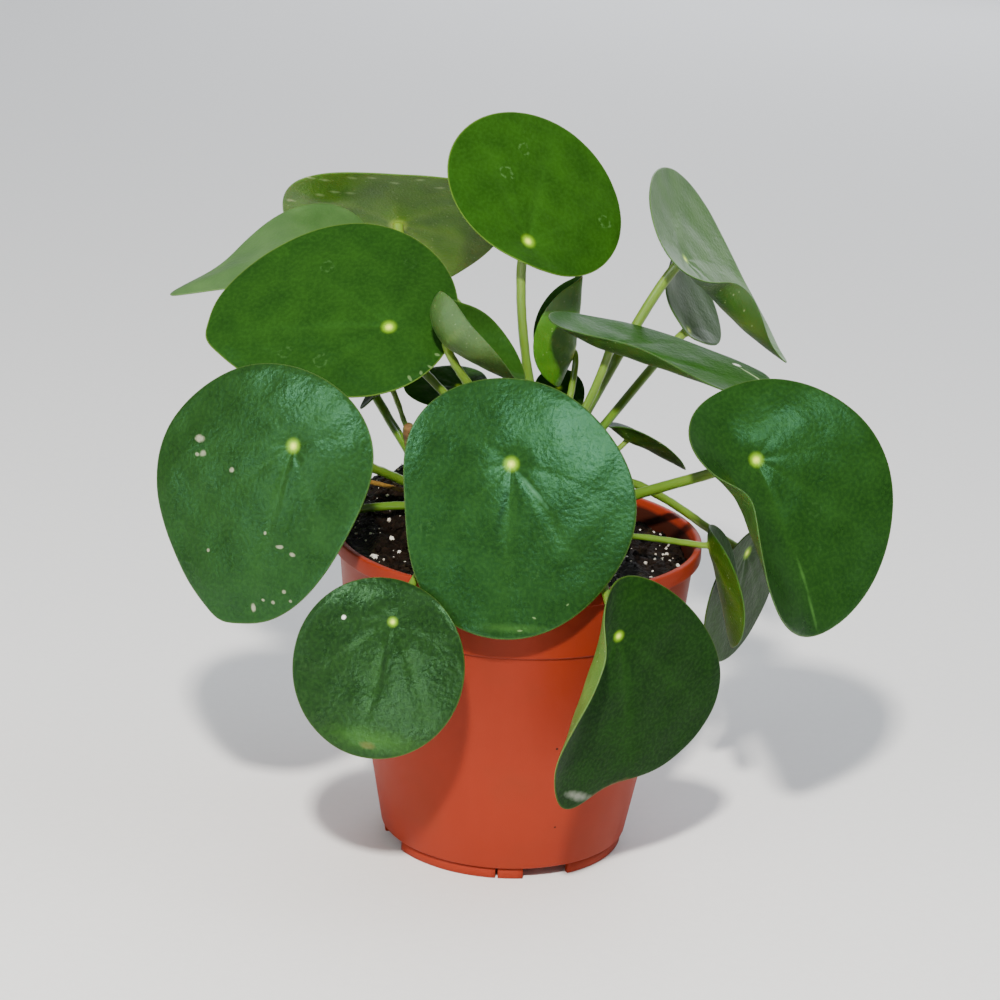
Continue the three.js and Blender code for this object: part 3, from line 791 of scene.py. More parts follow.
@dataclass(frozen=True)
class LeafUnderside:
    """The matt skin of a leaf's under side, where light comes through.

    It gives the eye a yellower, lighter green with dots about 2.5 mm apart, clouds of tone
    about 8 mm across and paler veins.
    """

    name: str
    base: str
    light: str
    vein: str = "#a8c058"
    dots: str = "#c9d6a0"
    dotted: float = 0.3
    halo: str = "#b4cc52"
    spots: tuple[Spot, ...] = ()

    def build(self) -> bpy.types.Material:
        """Lay out the nodes: greens, veins, dots, halo, spots and a fine grain."""
        material, tree = start_material(f"Leaf underside, matt, {self.name}")
        place = flat_place(tree)
        cloud = add_node(tree, "TexNoise", {"Vector": place, "Scale": 0.12, "Detail": 4.0})
        tone = add_node(tree, "MapRange", {0: cloud.outputs[0], 1: 0.3, 2: 0.7})
        colour = blend(tree, tone.outputs[0], self.base, self.light)
        ray = add_node(tree, "Attribute", attribute_name="vein").outputs["Fac"]
        amount = add_node(tree, "Math", {0: ray, 1: 0.3}, operation="MULTIPLY")
        colour = blend(tree, amount.outputs[0], colour, self.vein)
        cell = add_node(tree, "TexVoronoi", {"Vector": place, "Scale": 0.4})
        near = add_node(tree, "MapRange", {0: cell.outputs["Distance"], 1: 0.06, 2: 0.15,
                                           3: self.dotted, 4: 0.0})
        colour = blend(tree, near.outputs[0], colour, self.dots)
        reach = add_node(tree, "VectorMath", {0: place}, operation="LENGTH").outputs["Value"]
        halo = add_node(tree, "MapRange", {0: reach, 1: 1.0, 2: 4.5, 3: 0.7, 4: 0.0},
                        interpolation_type="SMOOTHERSTEP")
        colour = blend(tree, halo.outputs[0], colour, self.halo)
        colour = add_spots(tree, place, colour, self.spots)
        fine = add_node(tree, "TexNoise", {"Vector": place, "Scale": 1.1, "Detail": 4.0})
        finish_material(tree, colour, 0.5, fine.outputs[0], 0.25, Subsurface_Weight=0.15,
                        Subsurface_Scale=0.003)
        return material


@dataclass(frozen=True)
class SeamlessPaper:
    """Seamless backdrop paper, matt.

    It gives the eye an even, pale ground with a barely visible tooth of about 3 mm.
    """

    tone: str = "#f4f4f3"
    grain: str = "#efefee"

    def build(self) -> bpy.types.Material:
        """Lay out the nodes: a barely visible tooth."""
        material, tree = start_material("Seamless paper, matt")
        place = add_node(tree, "TexCoord").outputs["Object"]
        tooth = add_node(tree, "TexNoise", {"Vector": place, "Scale": 300.0})
        colour = blend(tree, tooth.outputs[0], self.tone, self.grain)
        finish_material(tree, colour, 0.95, tooth.outputs[0], 0.05, Specular_IOR_Level=0.1)
        return material


# ---------------------------------------------------------------------------------------- pot


@dataclass
class NurseryPot:
    """The moulded pot: lip, band with a step, tapered body, floor and foot ring."""

    rim_radius: float = 60.0
    height: float = 105.5
    wall: float = 1.2
    lip_height: float = 5.0
    band_top_radius: float = 57.8
    step_height: float = 82.0
    step_depth: float = 0.9
    body_top_radius: float = 55.0
    body_foot_radius: float = 40.8
    foot_radius: float = 39.6
    foot_height: float = 4.0
    foot_width: float = 1.8
    floor_thickness: float = 1.4
    segments: int = 192
    foot_round: float = 0.35
    foot_overlap: float = 0.3
    foot_pattern: float = 5.0
    gap_width: float = 16.0
    gap_angles: tuple[float, ...] = (-68.0, 22.0, 112.0, 202.0)
    slit_angle: float = -92.0
    slit_width: float = 0.8
    hole_circle: float = 29.0
    hole_radius: float = 4.0
    hole_angles: tuple[float, ...] = (-23.0, 67.0, 157.0, 247.0)
    drill_sides: int = 32
    # Heights where the darker upper inner wall is full and where it has faded, and how far in from
    # the wall it reaches.
    wall_dark_full: float = 103.0
    wall_dark_end: float = 105.4
    wall_dark_reach: float = 0.4

    def inner_radius(self, height: Array) -> Array:
        """Radius of the inside: straight lines between floor, step and lip."""
        heights = [self.foot_height, self.step_height, self.step_height + 0.6,
                   self.height - self.lip_height]
        radii = [self.body_foot_radius, self.body_top_radius,
                 self.body_top_radius + self.step_depth, self.band_top_radius]
        return np.interp(height, heights, radii) - self.wall

    def profile(self) -> Array:
        """Radius and height up the outside, over the lip and down the inside to the floor.

        Each corner is written with its radius, its height and how far it is rounded.
        """
        lip_foot = self.height - self.lip_height
        band_foot = self.body_top_radius + self.step_depth
        body_rise = (self.body_top_radius - self.body_foot_radius) / (self.step_height
                                                                     - self.foot_height)
        corners = [
            (0.0, self.foot_height, 0.0),
            (self.foot_radius - 0.2, self.foot_height, 0.0),
            (self.body_foot_radius, self.foot_height + 0.1, 0.5),
            (self.body_foot_radius + 20 * body_rise, self.foot_height + 20, 0.0),
            (self.body_top_radius, self.step_height, 0.15),
            (band_foot, self.step_height + 0.35, 0.35),
            (self.band_top_radius, lip_foot, 0.25),
            (self.rim_radius, lip_foot, 0.5),
            (self.rim_radius, self.height, 0.7),
            (self.band_top_radius, self.height, 0.8),
            (self.band_top_radius - self.wall, lip_foot, 1.2),
            (band_foot - self.wall, self.step_height + 0.6, 0.3),
            (self.body_top_radius - self.wall, self.step_height - 0.5, 0.3),
            (self.body_foot_radius - self.wall, self.foot_height + self.floor_thickness, 1.6),
            (0.0, self.foot_height + self.floor_thickness, 0.0),
        ]
        return rounded(corners)

    def foot_arcs(self) -> list[Shell]:
        """The foot ring: a rounded upright section carried along the arcs between the gaps."""
        edges = sorted([(a, math.degrees(self.gap_width / self.foot_radius))
                        for a in self.gap_angles]
                       + [(self.slit_angle, math.degrees(self.slit_width / self.foot_radius))])
        inner, outer = self.foot_radius - self.foot_width, self.foot_radius
        top, cut = self.foot_height + self.foot_overlap, self.foot_round
        section = np.array([[inner, top], [inner, cut], [inner + cut, 0], [outer - cut, 0],
                            [outer, cut], [outer, top]])
        arcs = []
        for (angle, width), (following, next_width) in zip(edges, edges[1:] + edges[:1]):
            start = angle + width / 2
            end = following - next_width / 2
            end += 360 if end < start else 0
            count = max(4, int((end - start) / 2))
            turn = np.radians(np.linspace(start, end, count))
            rows = np.stack([np.cos(turn)[:, None] * section[:, 0],
                             np.sin(turn)[:, None] * section[:, 0],
                             np.broadcast_to(section[:, 1], (count, len(section)))], axis=-1)
            uv = np.stack(np.broadcast_arrays(turn[:, None] / PATTERN_TURN,
                                              section[:, 1] / self.foot_pattern), axis=-1)
            arcs.append(woven(rows, uv, rows[0].mean(axis=0), rows[-1].mean(axis=0)))
        return arcs

    def build(self, foot: Foot) -> None:
        """Make the pot, darker over the upper half of its inner wall, and drill it.

        Args:
            foot: where the pot stands.
        """
        shell = joined([lathe(self.profile(), self.segments), *self.foot_arcs()])
        radius, height = np.hypot(*shell.points[:, :2].T), shell.points[:, 2]
        wall = self.inner_radius(height) + self.wall_dark_reach
        inside = (height > self.height / 2) & (radius < wall)
        wall_fade = smooth_step(self.wall_dark_full, self.wall_dark_end, height)
        shell.marks["wall_darkened"] = np.where(inside, 1 - wall_fade, 0.0)
        piece = foot.build("nursery_pot", shell, [MouldedPolypropylene().build()],
                           "pot_plastic", ["pot"])
        self.drill(piece, foot)

    def drill(self, piece: bpy.types.Object, foot: Foot) -> None:
        """Cut the drain holes: round drills through the floor, taken away from the pot.

        Args:
            piece: the pot's object.
            foot: where the pot stands.
        """
        drills = bmesh.new()
        for angle in self.hole_angles:
            centre = compass(angle, 0) * self.hole_circle * MM + foot.place
            centre[2] += (self.foot_height + self.floor_thickness / 2) * MM
            bmesh.ops.create_cone(drills, cap_ends=True, segments=self.drill_sides,
                                  radius1=self.hole_radius * MM, radius2=self.hole_radius * MM,
                                  depth=(self.floor_thickness + 2) * MM,
                                  matrix=Matrix.Translation(Vector(centre)))
        cutter_mesh = bpy.data.meshes.new("drills")
        drills.to_mesh(cutter_mesh)
        drills.free()
        cutter = bpy.data.objects.new("drills", cutter_mesh)
        bpy.context.scene.collection.objects.link(cutter)
        drilling = piece.modifiers.new("drain_holes", "BOOLEAN")
        drilling.operation, drilling.object, drilling.solver = "DIFFERENCE", cutter, "EXACT"
        view = bpy.context.evaluated_depsgraph_get()
        drilled = bpy.data.meshes.new_from_object(piece.evaluated_get(view), depsgraph=view)
        piece.modifiers.remove(drilling)
        plain = piece.data
        piece.data = drilled
        bpy.data.meshes.remove(plain)
        bpy.data.objects.remove(cutter)
        bpy.data.meshes.remove(cutter_mesh)


# --------------------------------------------------------------------------------------- soil


@dataclass(frozen=True)
class Scatter:
    """Lumps strewn over the soil: how many, how large in millimetres, and how they lie.

    A lump's radius is the smallest one plus the spread times a power of an even draw.
    """

    name: str
    count: int
    smallest: float
    spread: float
    power: int
    lift: float
    squash: float
    place_seed: int
    shape_seed: int


CRUMBS = Scatter("soil_crumbs", count=1100, smallest=0.5, spread=1.5, power=3, lift=0.2,
                 squash=0.8, place_seed=11, shape_seed=5)
PERLITE = Scatter("perlite_grains", count=420, smallest=0.22, spread=0.95, power=4, lift=0.3,
                  squash=0.85, place_seed=12, shape_seed=6)


@dataclass
class PottingSoil:
    """The soil with its mound, its crumbs and its perlite grains.

    Each ripple is its height, its wave length in millimetres and its seed.
    """

    edge_height: float = 100.0
    edge_tilt: float = 3.0
    tilt_radius: float = 60.0
    mound: tuple[float, float] = (-28.0, 24.0)
    mound_height: float = 17.0
    mound_spread: float = 20.0
    ripples: tuple[tuple[float, float, int], ...] = ((0.9, 9, 3), (0.5, 3.5, 4))
    segments: int = 168
    rings: int = 56
    plug_heights: tuple[float, ...] = (5.8, 30.0, 60.0, 81.0, 83.0, 95.0)
    plug_gap: float = 0.25
    plug_cut: float = 1.6
    top_fit: float = 97.0
    top_gap: float = 0.15
    scatter_radius: float = 54.5
    pattern_size: float = 120.0

    def height(self, x: Array, y: Array) -> Array:
        """Height of the soil: lower on the right, a bell-shaped mound, and ripples."""
        away = np.hypot(x - self.mound[0], y - self.mound[1]) / self.mound_spread
        level = self.edge_height - self.edge_tilt * x / self.tilt_radius
        places = np.stack([x, y, np.zeros_like(x)], axis=-1).reshape(-1, 3)
        rough = sum(high * ripple(places, wave, seed) for high, wave, seed in self.ripples)
        return level + self.mound_height * np.exp(-away ** 2 / 2) + rough.reshape(x.shape)

    def body(self, pot: NurseryPot) -> Shell:
        """The soil's mass: a rippled top on a plug that fits the pot's inside.

        Args:
            pot: the pot that holds it.

        Returns:
            A closed shell.
        """
        turn = np.linspace(0, 2 * math.pi, self.segments, endpoint=False)
        edge = pot.inner_radius(np.array(self.top_fit)) - self.top_gap
        heights = np.array(self.plug_heights)
        plug_radii = pot.inner_radius(heights) - self.plug_gap
        plug_radii[0] -= self.plug_cut
        plug = np.stack([plug_radii[:, None] * np.cos(turn), plug_radii[:, None] * np.sin(turn),
                         np.repeat(heights[:, None], self.segments, axis=1)], axis=-1)
        radii = edge * np.linspace(1, 0.02, self.rings)
        x, y = radii[:, None] * np.cos(turn), radii[:, None] * np.sin(turn)
        top = np.stack([x, y, self.height(x, y)], axis=-1)
        rows = np.concatenate([plug, top])
        uv = rows[..., :2] / self.pattern_size + 0.5
        peak = np.array([0, 0, float(self.height(np.zeros(1), np.zeros(1))[0])])
        return woven(rows, uv, np.array([0, 0, heights[0]]), peak)

    def lumps(self, places: Array, sizes: Array, seed: int, squash: float) -> Shell:
        """Many small lumps.

        A ball of twenty faces is copied to each place, stretched along its axes, dented with
        random corner lengths and turned at random.

        Args:
            places: (n, 3) centres.
            sizes: (n,) radii.
            seed: for turning, stretching and denting.
            squash: height against width.

        Returns:
            One shell of all lumps.
        """
        ball = bmesh.new()
        bmesh.ops.create_icosphere(ball, subdivisions=1, radius=1.0)
        corner = np.array([v.co for v in ball.verts])
        face = np.array([[v.index for v in f.verts] for f in ball.faces])
        ball.free()
        rng = np.random.default_rng(seed)
        count = len(places)
        axes = np.linalg.qr(rng.normal(size=(count, 3, 3)))[0]
        axes *= np.sign(np.linalg.det(axes))[:, None, None]
        stretch = rng.uniform(0.65, 1.25, (count, 1, 3)) * np.array([1, 1, squash])
        dent = rng.uniform(0.75, 1.2, (count, len(corner), 1))
        local = np.einsum("nij,nvj->nvi", axes, corner[None] * stretch * dent)
        points = places[:, None] + local * sizes[:, None, None]
        triangles = face[None] + (np.arange(count) * len(corner))[:, None, None]
        triangles = triangles.reshape(-1, 3)
        points = points.reshape(-1, 3)
        uv = points[:, :2] / self.pattern_size + 0.5
        return Shell(points, np.zeros((0, 4), int), triangles, uv,
                     np.zeros(len(triangles), int))

    def strewn(self, scatter: Scatter) -> Shell:
        """Lumps over the soil: radius of the place from the root of an even draw, any angle.

        Args:
            scatter: how many lumps, how large and how they lie.

        Returns:
            One shell of all lumps.
        """
        rng = np.random.default_rng(scatter.place_seed)
        radius = self.scatter_radius * np.sqrt(rng.uniform(0, 1, scatter.count))
        angle = rng.uniform(0, 2 * math.pi, scatter.count)
        x, y = radius * np.cos(angle), radius * np.sin(angle)
        places = np.stack([x, y, self.height(x, y)], axis=-1)
        draw = rng.uniform(0, 1, scatter.count)
        sizes = scatter.smallest + scatter.spread * draw ** scatter.power
        places[:, 2] += sizes * scatter.lift
        return self.lumps(places, sizes, scatter.shape_seed, scatter.squash)

    def build(self, foot: Foot, pot: NurseryPot) -> None:
        """Make the soil, its crumbs and its perlite.

        Args:
            foot: where the pot stands.
            pot: the pot that holds the soil.
        """
        soil = DampPottingSoil().build()
        foot.build("potting_soil", self.body(pot), [soil], "potting_soil", ["soil"])
        for scatter, look in ((CRUMBS, soil), (PERLITE, ExpandedPerlite().build())):
            foot.build(scatter.name, self.strewn(scatter), [look], "potting_soil", [], flat=True)


# ------------------------------------------------------------------------------------- shoots


class Shoot(Enum):
    """The two shoots that carry the leaves."""

    MAIN = "stem_main"
    LEFT = "stem_left"


@dataclass(frozen=True)
class Stem:
    """A shoot's stem: foot and tip, with a radius at each."""

    foot: tuple[float, float, float]
    tip: tuple[float, float, float]
    foot_radius: float
    tip_radius: float
    seed: int
    steps: int = 72
    sides: int = 28
    sunk: float = 0.12
    scars: float = 5.5
    scar_rise: float = 0.5
    dome: float = 0.1
    roughness: float = 0.18

    def at_height(self, height: float) -> Array:
        """Point of the stem's axis at a height."""
        foot, tip = np.array(self.foot), np.array(self.tip)
        return foot + (tip - foot) * (height - foot[2]) / (tip[2] - foot[2])

    def shell(self) -> Shell:
        """The stem: a tapering tube with a swelling at each leaf scar and a domed tip."""
        foot, tip = np.array(self.foot), np.array(self.tip)
        t = np.linspace(-self.sunk, 1.0, self.steps)
        path = foot + (tip - foot) * t[:, None]
        radii = np.interp(t, [0, 1], [self.foot_radius, self.tip_radius])
        swelling = np.abs(np.sin(t * math.pi * self.scars)) ** 6
        dome = np.sqrt(np.clip(1 - ((t - (1 - self.dome)) / self.dome).clip(0) ** 2, 0.02, 1))
        radii = (radii - self.scar_rise + self.scar_rise * swelling) * dome
        shell = tube(path, radii, self.sides, np.array([1.0, 0.2, 0.0]))
        rough = self.roughness * ripple(shell.points, 3.0, self.seed)
        axis = foot + (tip - foot) * (((shell.points - foot) @ (tip - foot))
                                      / ((tip - foot) @ (tip - foot)))[:, None]
        shell.points += unit(shell.points - axis) * rough[:, None]
        return shell


# Each shoot's stem, and its withered stipules: height on the stem, compass angle and rise.
STEMS = {
    Shoot.MAIN: Stem((9, 2, 100), (10, 1, 134), 6, 4, 21),
    Shoot.LEFT: Stem((-27, -2, 104), (-37, -3, 141), 4, 2.6, 22),
}
STIPULES = (
    (Shoot.LEFT, 122, -70, 35), (Shoot.LEFT, 126, -130, 55), (Shoot.LEFT, 130, -40, 60),
    (Shoot.LEFT, 134, -100, 62), (Shoot.LEFT, 119, -100, 10), (Shoot.MAIN, 124, -60, 45),
    (Shoot.MAIN, 128, 150, 50), (Shoot.MAIN, 131, 40, 60),
)


# ------------------------------------------------------------------------------------- leaves


class Side(Enum):
    """A side of a blade as seen along its tip, from above."""

    LEFT = 1
    RIGHT = -1


@dataclass(frozen=True)
class Curl:
    """How far the rays to the tip, the base and the two sides bend up, in degrees."""

    tip: float
    base: float
    left: float
    right: float


@dataclass(frozen=True)
class Fold:
    """One side turned up: from a line beside the middle, over a width, by an angle."""

    side: Side
    at: float
    over: float
    turn: float


@dataclass(frozen=True)
class TurnUp:
    """A stretch of the margin that turns up.

    It lies round `angle`, in degrees round the blade, over `width` to each side. There the rays
    bend up by `turn` degrees from `start`, a part of their length, to the margin.
    """

    angle: float
    width: float
    start: float
    turn: float


@dataclass(frozen=True)
class Stalk:
    """The petiole: its shoot, the height of its root, its way out, and its neck at the blade."""

    shoot: Shoot
    root: float
    angle: float
    rise: float
    reach: float
    neck: float
    diameter: float


@dataclass(frozen=True)
class Wave:
    """A bulge of the margin: its place and its width in degrees round the blade, and how far out.

    A negative distance makes a hollow.
    """

    angle: float
    width: float
    out: float


# Directions of the veins round the joint, in degrees from the tip, and how strong each is.
VEINS = ((0, 1.0), (40, 0.6), (-44, 0.5), (82, 0.3), (-78, 0.35), (128, 0.3), (-132, 0.25),
         (178, 0.2))
# Where the three rows of points on the rim lie, as angles down from the upper side.
RIM_ANGLES = (math.pi / 4, math.pi / 2, 3 * math.pi / 4)
# Columns round a blade and rings out to its margin, for a blade whose length and width add up to
# more than LARGE_BLADE millimetres and for a smaller one.
LARGE_BLADE = 90
LARGE_GRID, SMALL_GRID = (144, 34), (96, 22)


@dataclass(frozen=True)
class Leaf:
    """One leaf: where the blade meets the petiole, how it lies, its outline and its looks."""

    name: str
    at: tuple[float, float, float]
    heading: float
    droop: float
    roll: float
    length: float
    width: float
    base: float
    taper: float
    shift: float
    curl: Curl
    stalk: Stalk
    upper: Cuticle
    under: LeafUnderside
    skin: StalkSkin
    folds: tuple[Fold, ...] = ()
    waves: tuple[Wave, ...] = ()
    turns: tuple[TurnUp, ...] = ()
    buckle: float = 0.35
    groove: float = 0.35
    thickness: float = 0.9
    dimple: float = 0.9
    dimple_spread: float = 4.5
    blade_drop: float = 0.5
    stalk_drop: float = 1.6
    stalk_steps: int = 64
    stalk_sides: int = 20
    seed: int = 1

    def axes(self) -> tuple[Array, Array, Array]:
        """Directions of the tip, the left side and the upper face."""
        turn, drop, roll = (math.radians(a) for a in (self.heading, self.droop, self.roll))
        tip = np.array([math.cos(turn) * math.cos(drop), math.sin(turn) * math.cos(drop),
                        -math.sin(drop)])
        level = np.array([-math.sin(turn), math.cos(turn), 0.0])
        upright = np.cross(tip, level)
        left = level * math.cos(roll) + upright * math.sin(roll)
        return tip, left, np.cross(tip, left)

    def margin(self, phi: Array) -> Array:
        """Outline of the flat blade.

        An ellipse set forward of the joint, narrowed towards the tip by the taper. Each wave
        stretches the way from the joint to the margin by a bell shape.

        Args:
            phi: angle round the ellipse.

        Returns:
            (n, 2) points forward and left of the joint.
        """
        half = self.length / 2
        forward = half - self.base + half * np.cos(phi)
        left = self.shift + self.width / 2 * np.sin(phi) * (1 - self.taper * np.cos(phi))
        outline = np.stack([forward, left], axis=-1)
        bulge = np.ones(len(phi))
        for wave in self.waves:
            off = degrees_off(phi, wave.angle)
            bulge += wave.out / half * np.exp(-(off / wave.width) ** 2)
        return outline * bulge[:, None]

    def folded(self, points: Array) -> Array:
        """Turn up the sides.

        Beyond a fold's line the blade runs round an arc until it has turned fully, then goes
        straight on in the new direction.

        Args:
            points: (..., 3) places forward, left and up.

        Returns:
            The places after all folds.
        """
        for fold in self.folds:
            side = fold.side.value
            x, y, z = (points[..., i] for i in range(3))
            beyond = side * y - fold.at
            part = np.clip(beyond / fold.over, 0, 1)
            full = math.radians(fold.turn)
            radius = fold.over / full
            angle = full * part
            straight = np.maximum(beyond - fold.over, 0)
            out = radius * np.sin(angle) + straight * np.cos(angle) - z * np.sin(angle)
            high = radius * (1 - np.cos(angle)) + straight * np.sin(angle) + z * np.cos(angle)
            y = np.where(beyond > 0, side * (fold.at + out), y)
            z = np.where(beyond > 0, high, z)
            points = np.stack([x, y, z], axis=-1)
        return points

    def vein_map(self, outline: Array, rings: Array) -> Array:
        """How deep in a vein's groove each point lies, from 0 to 1.

        The veins leave the joint at fixed directions and bend towards the tip. A groove is a
        bell shape across the vein that widens and fades on the way to the margin.

        Args:
            outline: the columns' margin points.
            rings: parts of the way to the margin.

        Returns:
            (rings, columns) values.
        """
        reach = np.linalg.norm(outline, axis=1)
        direction = np.arctan2(outline[:, 1], outline[:, 0])
        away = rings[:, None] * reach[None]
        total = np.zeros_like(away)
        for angle, weight in VEINS:
            bent = math.radians(angle) * (1 - 0.16 * rings[:, None])
            off = (direction[None] - bent + math.pi) % (2 * math.pi) - math.pi
            across = away * np.sin(np.clip(off, -math.pi / 2, math.pi / 2))
            groove = np.exp(-(across / (1.0 + 0.045 * away)) ** 2)
            total = np.maximum(total, weight * groove * (np.abs(off) < math.pi / 2))
        return total * (1 - rings[:, None]) ** 0.6 * smooth_step(0.5, 3.0, away)

    def middle(self, phi: Array, rings: Array) -> tuple[Array, Array]:
        """The blade's middle surface and its pattern, in the blade's own axes.

        Along each ray from the joint to the margin the blade's slope grows evenly to the ray's
        curl, and where the margin turns up it grows further from the turn's start. The place on
        the ray is the sum of its short steps, each in the direction of its slope. Then the
        folds turn up the blade's sides.

        Args:
            phi: angles of the columns.
            rings: parts of the way to the margin.

        Returns:
            (rings, columns, 3) places and (rings, columns, 2) flat places.
        """
        outline = self.margin(phi)
        reach = np.linalg.norm(outline, axis=1)
        along, across = (outline / reach[:, None]).T
        ends = np.where(along > 0, self.curl.tip, self.curl.base)
        sides = np.where(across > 0, self.curl.left, self.curl.right)
        bend = np.radians(ends * along ** 2 + sides * across ** 2)
        before = np.concatenate([[0], rings[:-1]])
        centre = ((rings + before) / 2)[:, None]
        slope = bend[None] * centre
        for turn in self.turns:
            off = degrees_off(phi, turn.angle)
            part = np.exp(-np.abs(off / turn.width) ** 2)[None]
            slope = slope + math.radians(turn.turn) * part * smooth_step(turn.start, 1.05, centre)
        step = (rings - before)[:, None] * reach[None]
        out, up = np.cumsum(step * np.cos(slope), axis=0), np.cumsum(step * np.sin(slope), axis=0)
        flat = outline[None] * rings[:, None, None]
        points = np.stack([out * along[None], out * across[None], up], axis=-1)
        return self.folded(points), flat

    def blade(self) -> Shell:
        """The blade: an upper skin, a rounded rim and an under skin.

        The middle surface gets soft buckles, the grooves of the veins and a dimple at the
        joint. Both skins stand off it by half the thickness, which falls towards the margin.
        Three rows of points between them round off the rim.

        Returns:
            A closed shell: slot 0 on top, slot 1 on the rim and below, with the marks vein and
            margin.
        """
        large = self.length + self.width > LARGE_BLADE
        columns, count = LARGE_GRID if large else SMALL_GRID
        phi = np.linspace(0, 2 * math.pi, columns, endpoint=False)
        rings = np.linspace(0, 1, count + 1)[1:] ** 0.92
        points, flat = self.middle(phi, rings)
        outline = self.margin(phi)
        vein = self.vein_map(outline, rings)
        reach = np.linalg.norm(outline, axis=1)
        away = rings[:, None] * reach[None]
        normal = self.normals(points)
        flat3 = np.concatenate([flat, np.zeros(flat.shape[:2] + (1,))], axis=-1).reshape(-1, 3)
        broad = ripple(flat3, 34, self.seed).reshape(vein.shape)
        small = ripple(flat3, 11, self.seed + 50).reshape(vein.shape)
        relief = (self.buckle * (broad * rings[:, None] ** 1.5 + 0.3 * small)
                  * smooth_step(2, 12, away) * (1 - 0.6 * smooth_step(0.9, 1.0, rings)[:, None])
                  - self.groove * vein
                  - self.dimple * np.exp(-(away / self.dimple_spread) ** 2))
        points = points + normal * relief[..., None]
        normal = self.normals(points)
        half = (self.thickness / 2 * (1 - 0.45 * rings ** 2))[:, None, None]
        outwards = unit(points[-1] - points[-2])
        edge = points[-1] - outwards * half[-1]
        skins = points.copy()
        skins[-1] = edge
        upper, lower = skins + normal * half, skins - normal * half
        rim = [edge + normal[-1] * half[-1] * math.cos(a) + outwards * half[-1] * math.sin(a)
               for a in RIM_ANGLES]
        rows = np.concatenate([lower, np.array(rim[::-1]), upper[::-1]])
        flat_rows = np.concatenate([flat, np.repeat(flat[-1:], len(rim), axis=0), flat[::-1]])
        near = reach[None] - away
        rim_zero = np.zeros((len(rim), columns))
        axes = np.stack(self.axes())
        start = np.array(self.at) - axes[2] * self.blade_drop
        dip = np.array([0, 0, -self.dimple])
        ends = [dip - [0, 0, self.thickness / 2], dip + [0, 0, self.thickness / 2]]
        shell = woven(rows @ axes + start, flat_rows / PATTERN_MM + 0.5,
                      ends[0] @ axes + start, ends[1] @ axes + start, np.array([0.5, 0.5]))
        quad_rows = np.arange(len(rows) - 1)
        is_top = np.repeat((quad_rows >= count + 1).astype(int), columns)
        shell.slots = np.concatenate([1 - is_top, np.ones(columns, int), np.zeros(columns, int)])
        tail = np.array([0.0, 0.0])
        shell.marks = {
            "vein": np.concatenate([np.concatenate([vein, rim_zero, vein[::-1]]).ravel(), tail]),
            "margin": np.concatenate([np.concatenate([near, rim_zero, near[::-1]]).ravel(),
                                      tail + reach.mean()]),
        }
        return shell

    @staticmethod
    def normals(points: Array) -> Array:
        """Upward normals of a polar grid: the ray's direction crossed with the way round."""
        out = np.gradient(points, axis=0)
        wrapped = np.concatenate([points[:, -1:], points, points[:, :1]], axis=1)
        around = wrapped[:, 2:] - wrapped[:, :-2]
        return unit(np.cross(out, around))

    def petiole(self) -> Shell:
        """The petiole: a tube along a cubic curve, wider at its root and under the blade."""
        stalk = self.stalk
        _, _, up = self.axes()
        joint = np.array(self.at) - up * self.stalk_drop
        root = STEMS[stalk.shoot].at_height(stalk.root)
        corners = [root, root + compass(stalk.angle, stalk.rise) * stalk.reach,
                   joint - up * stalk.neck, joint]
        path = bezier(corners, self.stalk_steps)
        t = np.linspace(0, 1, self.stalk_steps)
        radii = stalk.diameter / 2 * (1 + 0.35 * np.exp(-(t / 0.06) ** 2)
                                      + 0.3 * np.exp(-((1 - t) / 0.035) ** 2))
        chord = joint - root
        reference = np.cross(chord, np.array([0.13, -0.21, 1.0]))
        if np.linalg.norm(np.cross(unit(chord), np.array([0, 0, 1.0]))) < 0.35:
            reference = np.array([0.0, 1.0, 0.0])
        shell = tube(path, radii, self.stalk_sides, unit(reference))
        shell.points += 0.05 * ripple(shell.points, 4.0, self.seed)[:, None]
        return shell

    def build(self, foot: Foot) -> None:
        """Make the blade and the petiole.

        Args:
            foot: where the pot stands.
        """
        foot.build(f"blade_{self.name}", self.blade(),
                   [finish_of(self.upper), finish_of(self.under)], "leaf_blade",
                   [f"leaf_{self.name}_blade"])
        foot.build(f"petiole_{self.name}", self.petiole(), [finish_of(self.skin)],
                   "leaf_petiole", [f"leaf_{self.name}_petiole"])


_FINISHES: dict[Any, bpy.types.Material] = {}


def finish_of(finish: Any) -> bpy.types.Material:
    """The material of a finish, made once."""
    if finish not in _FINISHES:
        _FINISHES[finish] = finish.build()
    return _FINISHES[finish]


# Marks of age, with painted shade in two leaves' grooves and a painted sheen streak on the front
# leaf, in each blade's own millimetres.
SCAR, CORK, WAX = "#a8a890", "#6b5230", "#8fae74"
LEFT_SCARS = (
    Spot(7.3, -33.4, 1.3, 1.8, 10, SCAR, 0.6), Spot(11.4, -30.6, 1.0, 1.2, 40, SCAR, 0.5),
    Spot(12.2, -32.6, 0.6, 0.8, 0, SCAR, 0.5), Spot(13.2, -18.4, 0.8, 0.9, 20, SCAR, 0.6),
    Spot(28.4, -1.1, 0.6, 0.5, 0, SCAR, 0.6), Spot(31, 5.0, 0.6, 1.3, 15, SCAR, 0.5),
    Spot(32, 9.6, 0.7, 1.0, 0, SCAR, 0.55), Spot(39.8, -19.9, 0.6, 0.6, 0, SCAR, 0.5),
    Spot(52.4, 0.4, 1.5, 0.9, 20, SCAR, 0.65), Spot(48.8, 3.3, 0.5, 0.7, 0, SCAR, 0.55),
    Spot(48.4, 6.9, 0.6, 0.7, 0, SCAR, 0.5), Spot(44.1, 9.8, 0.6, 0.7, 0, SCAR, 0.5),
    Spot(46.3, 12.5, 0.5, 0.6, 0, SCAR, 0.4),
)
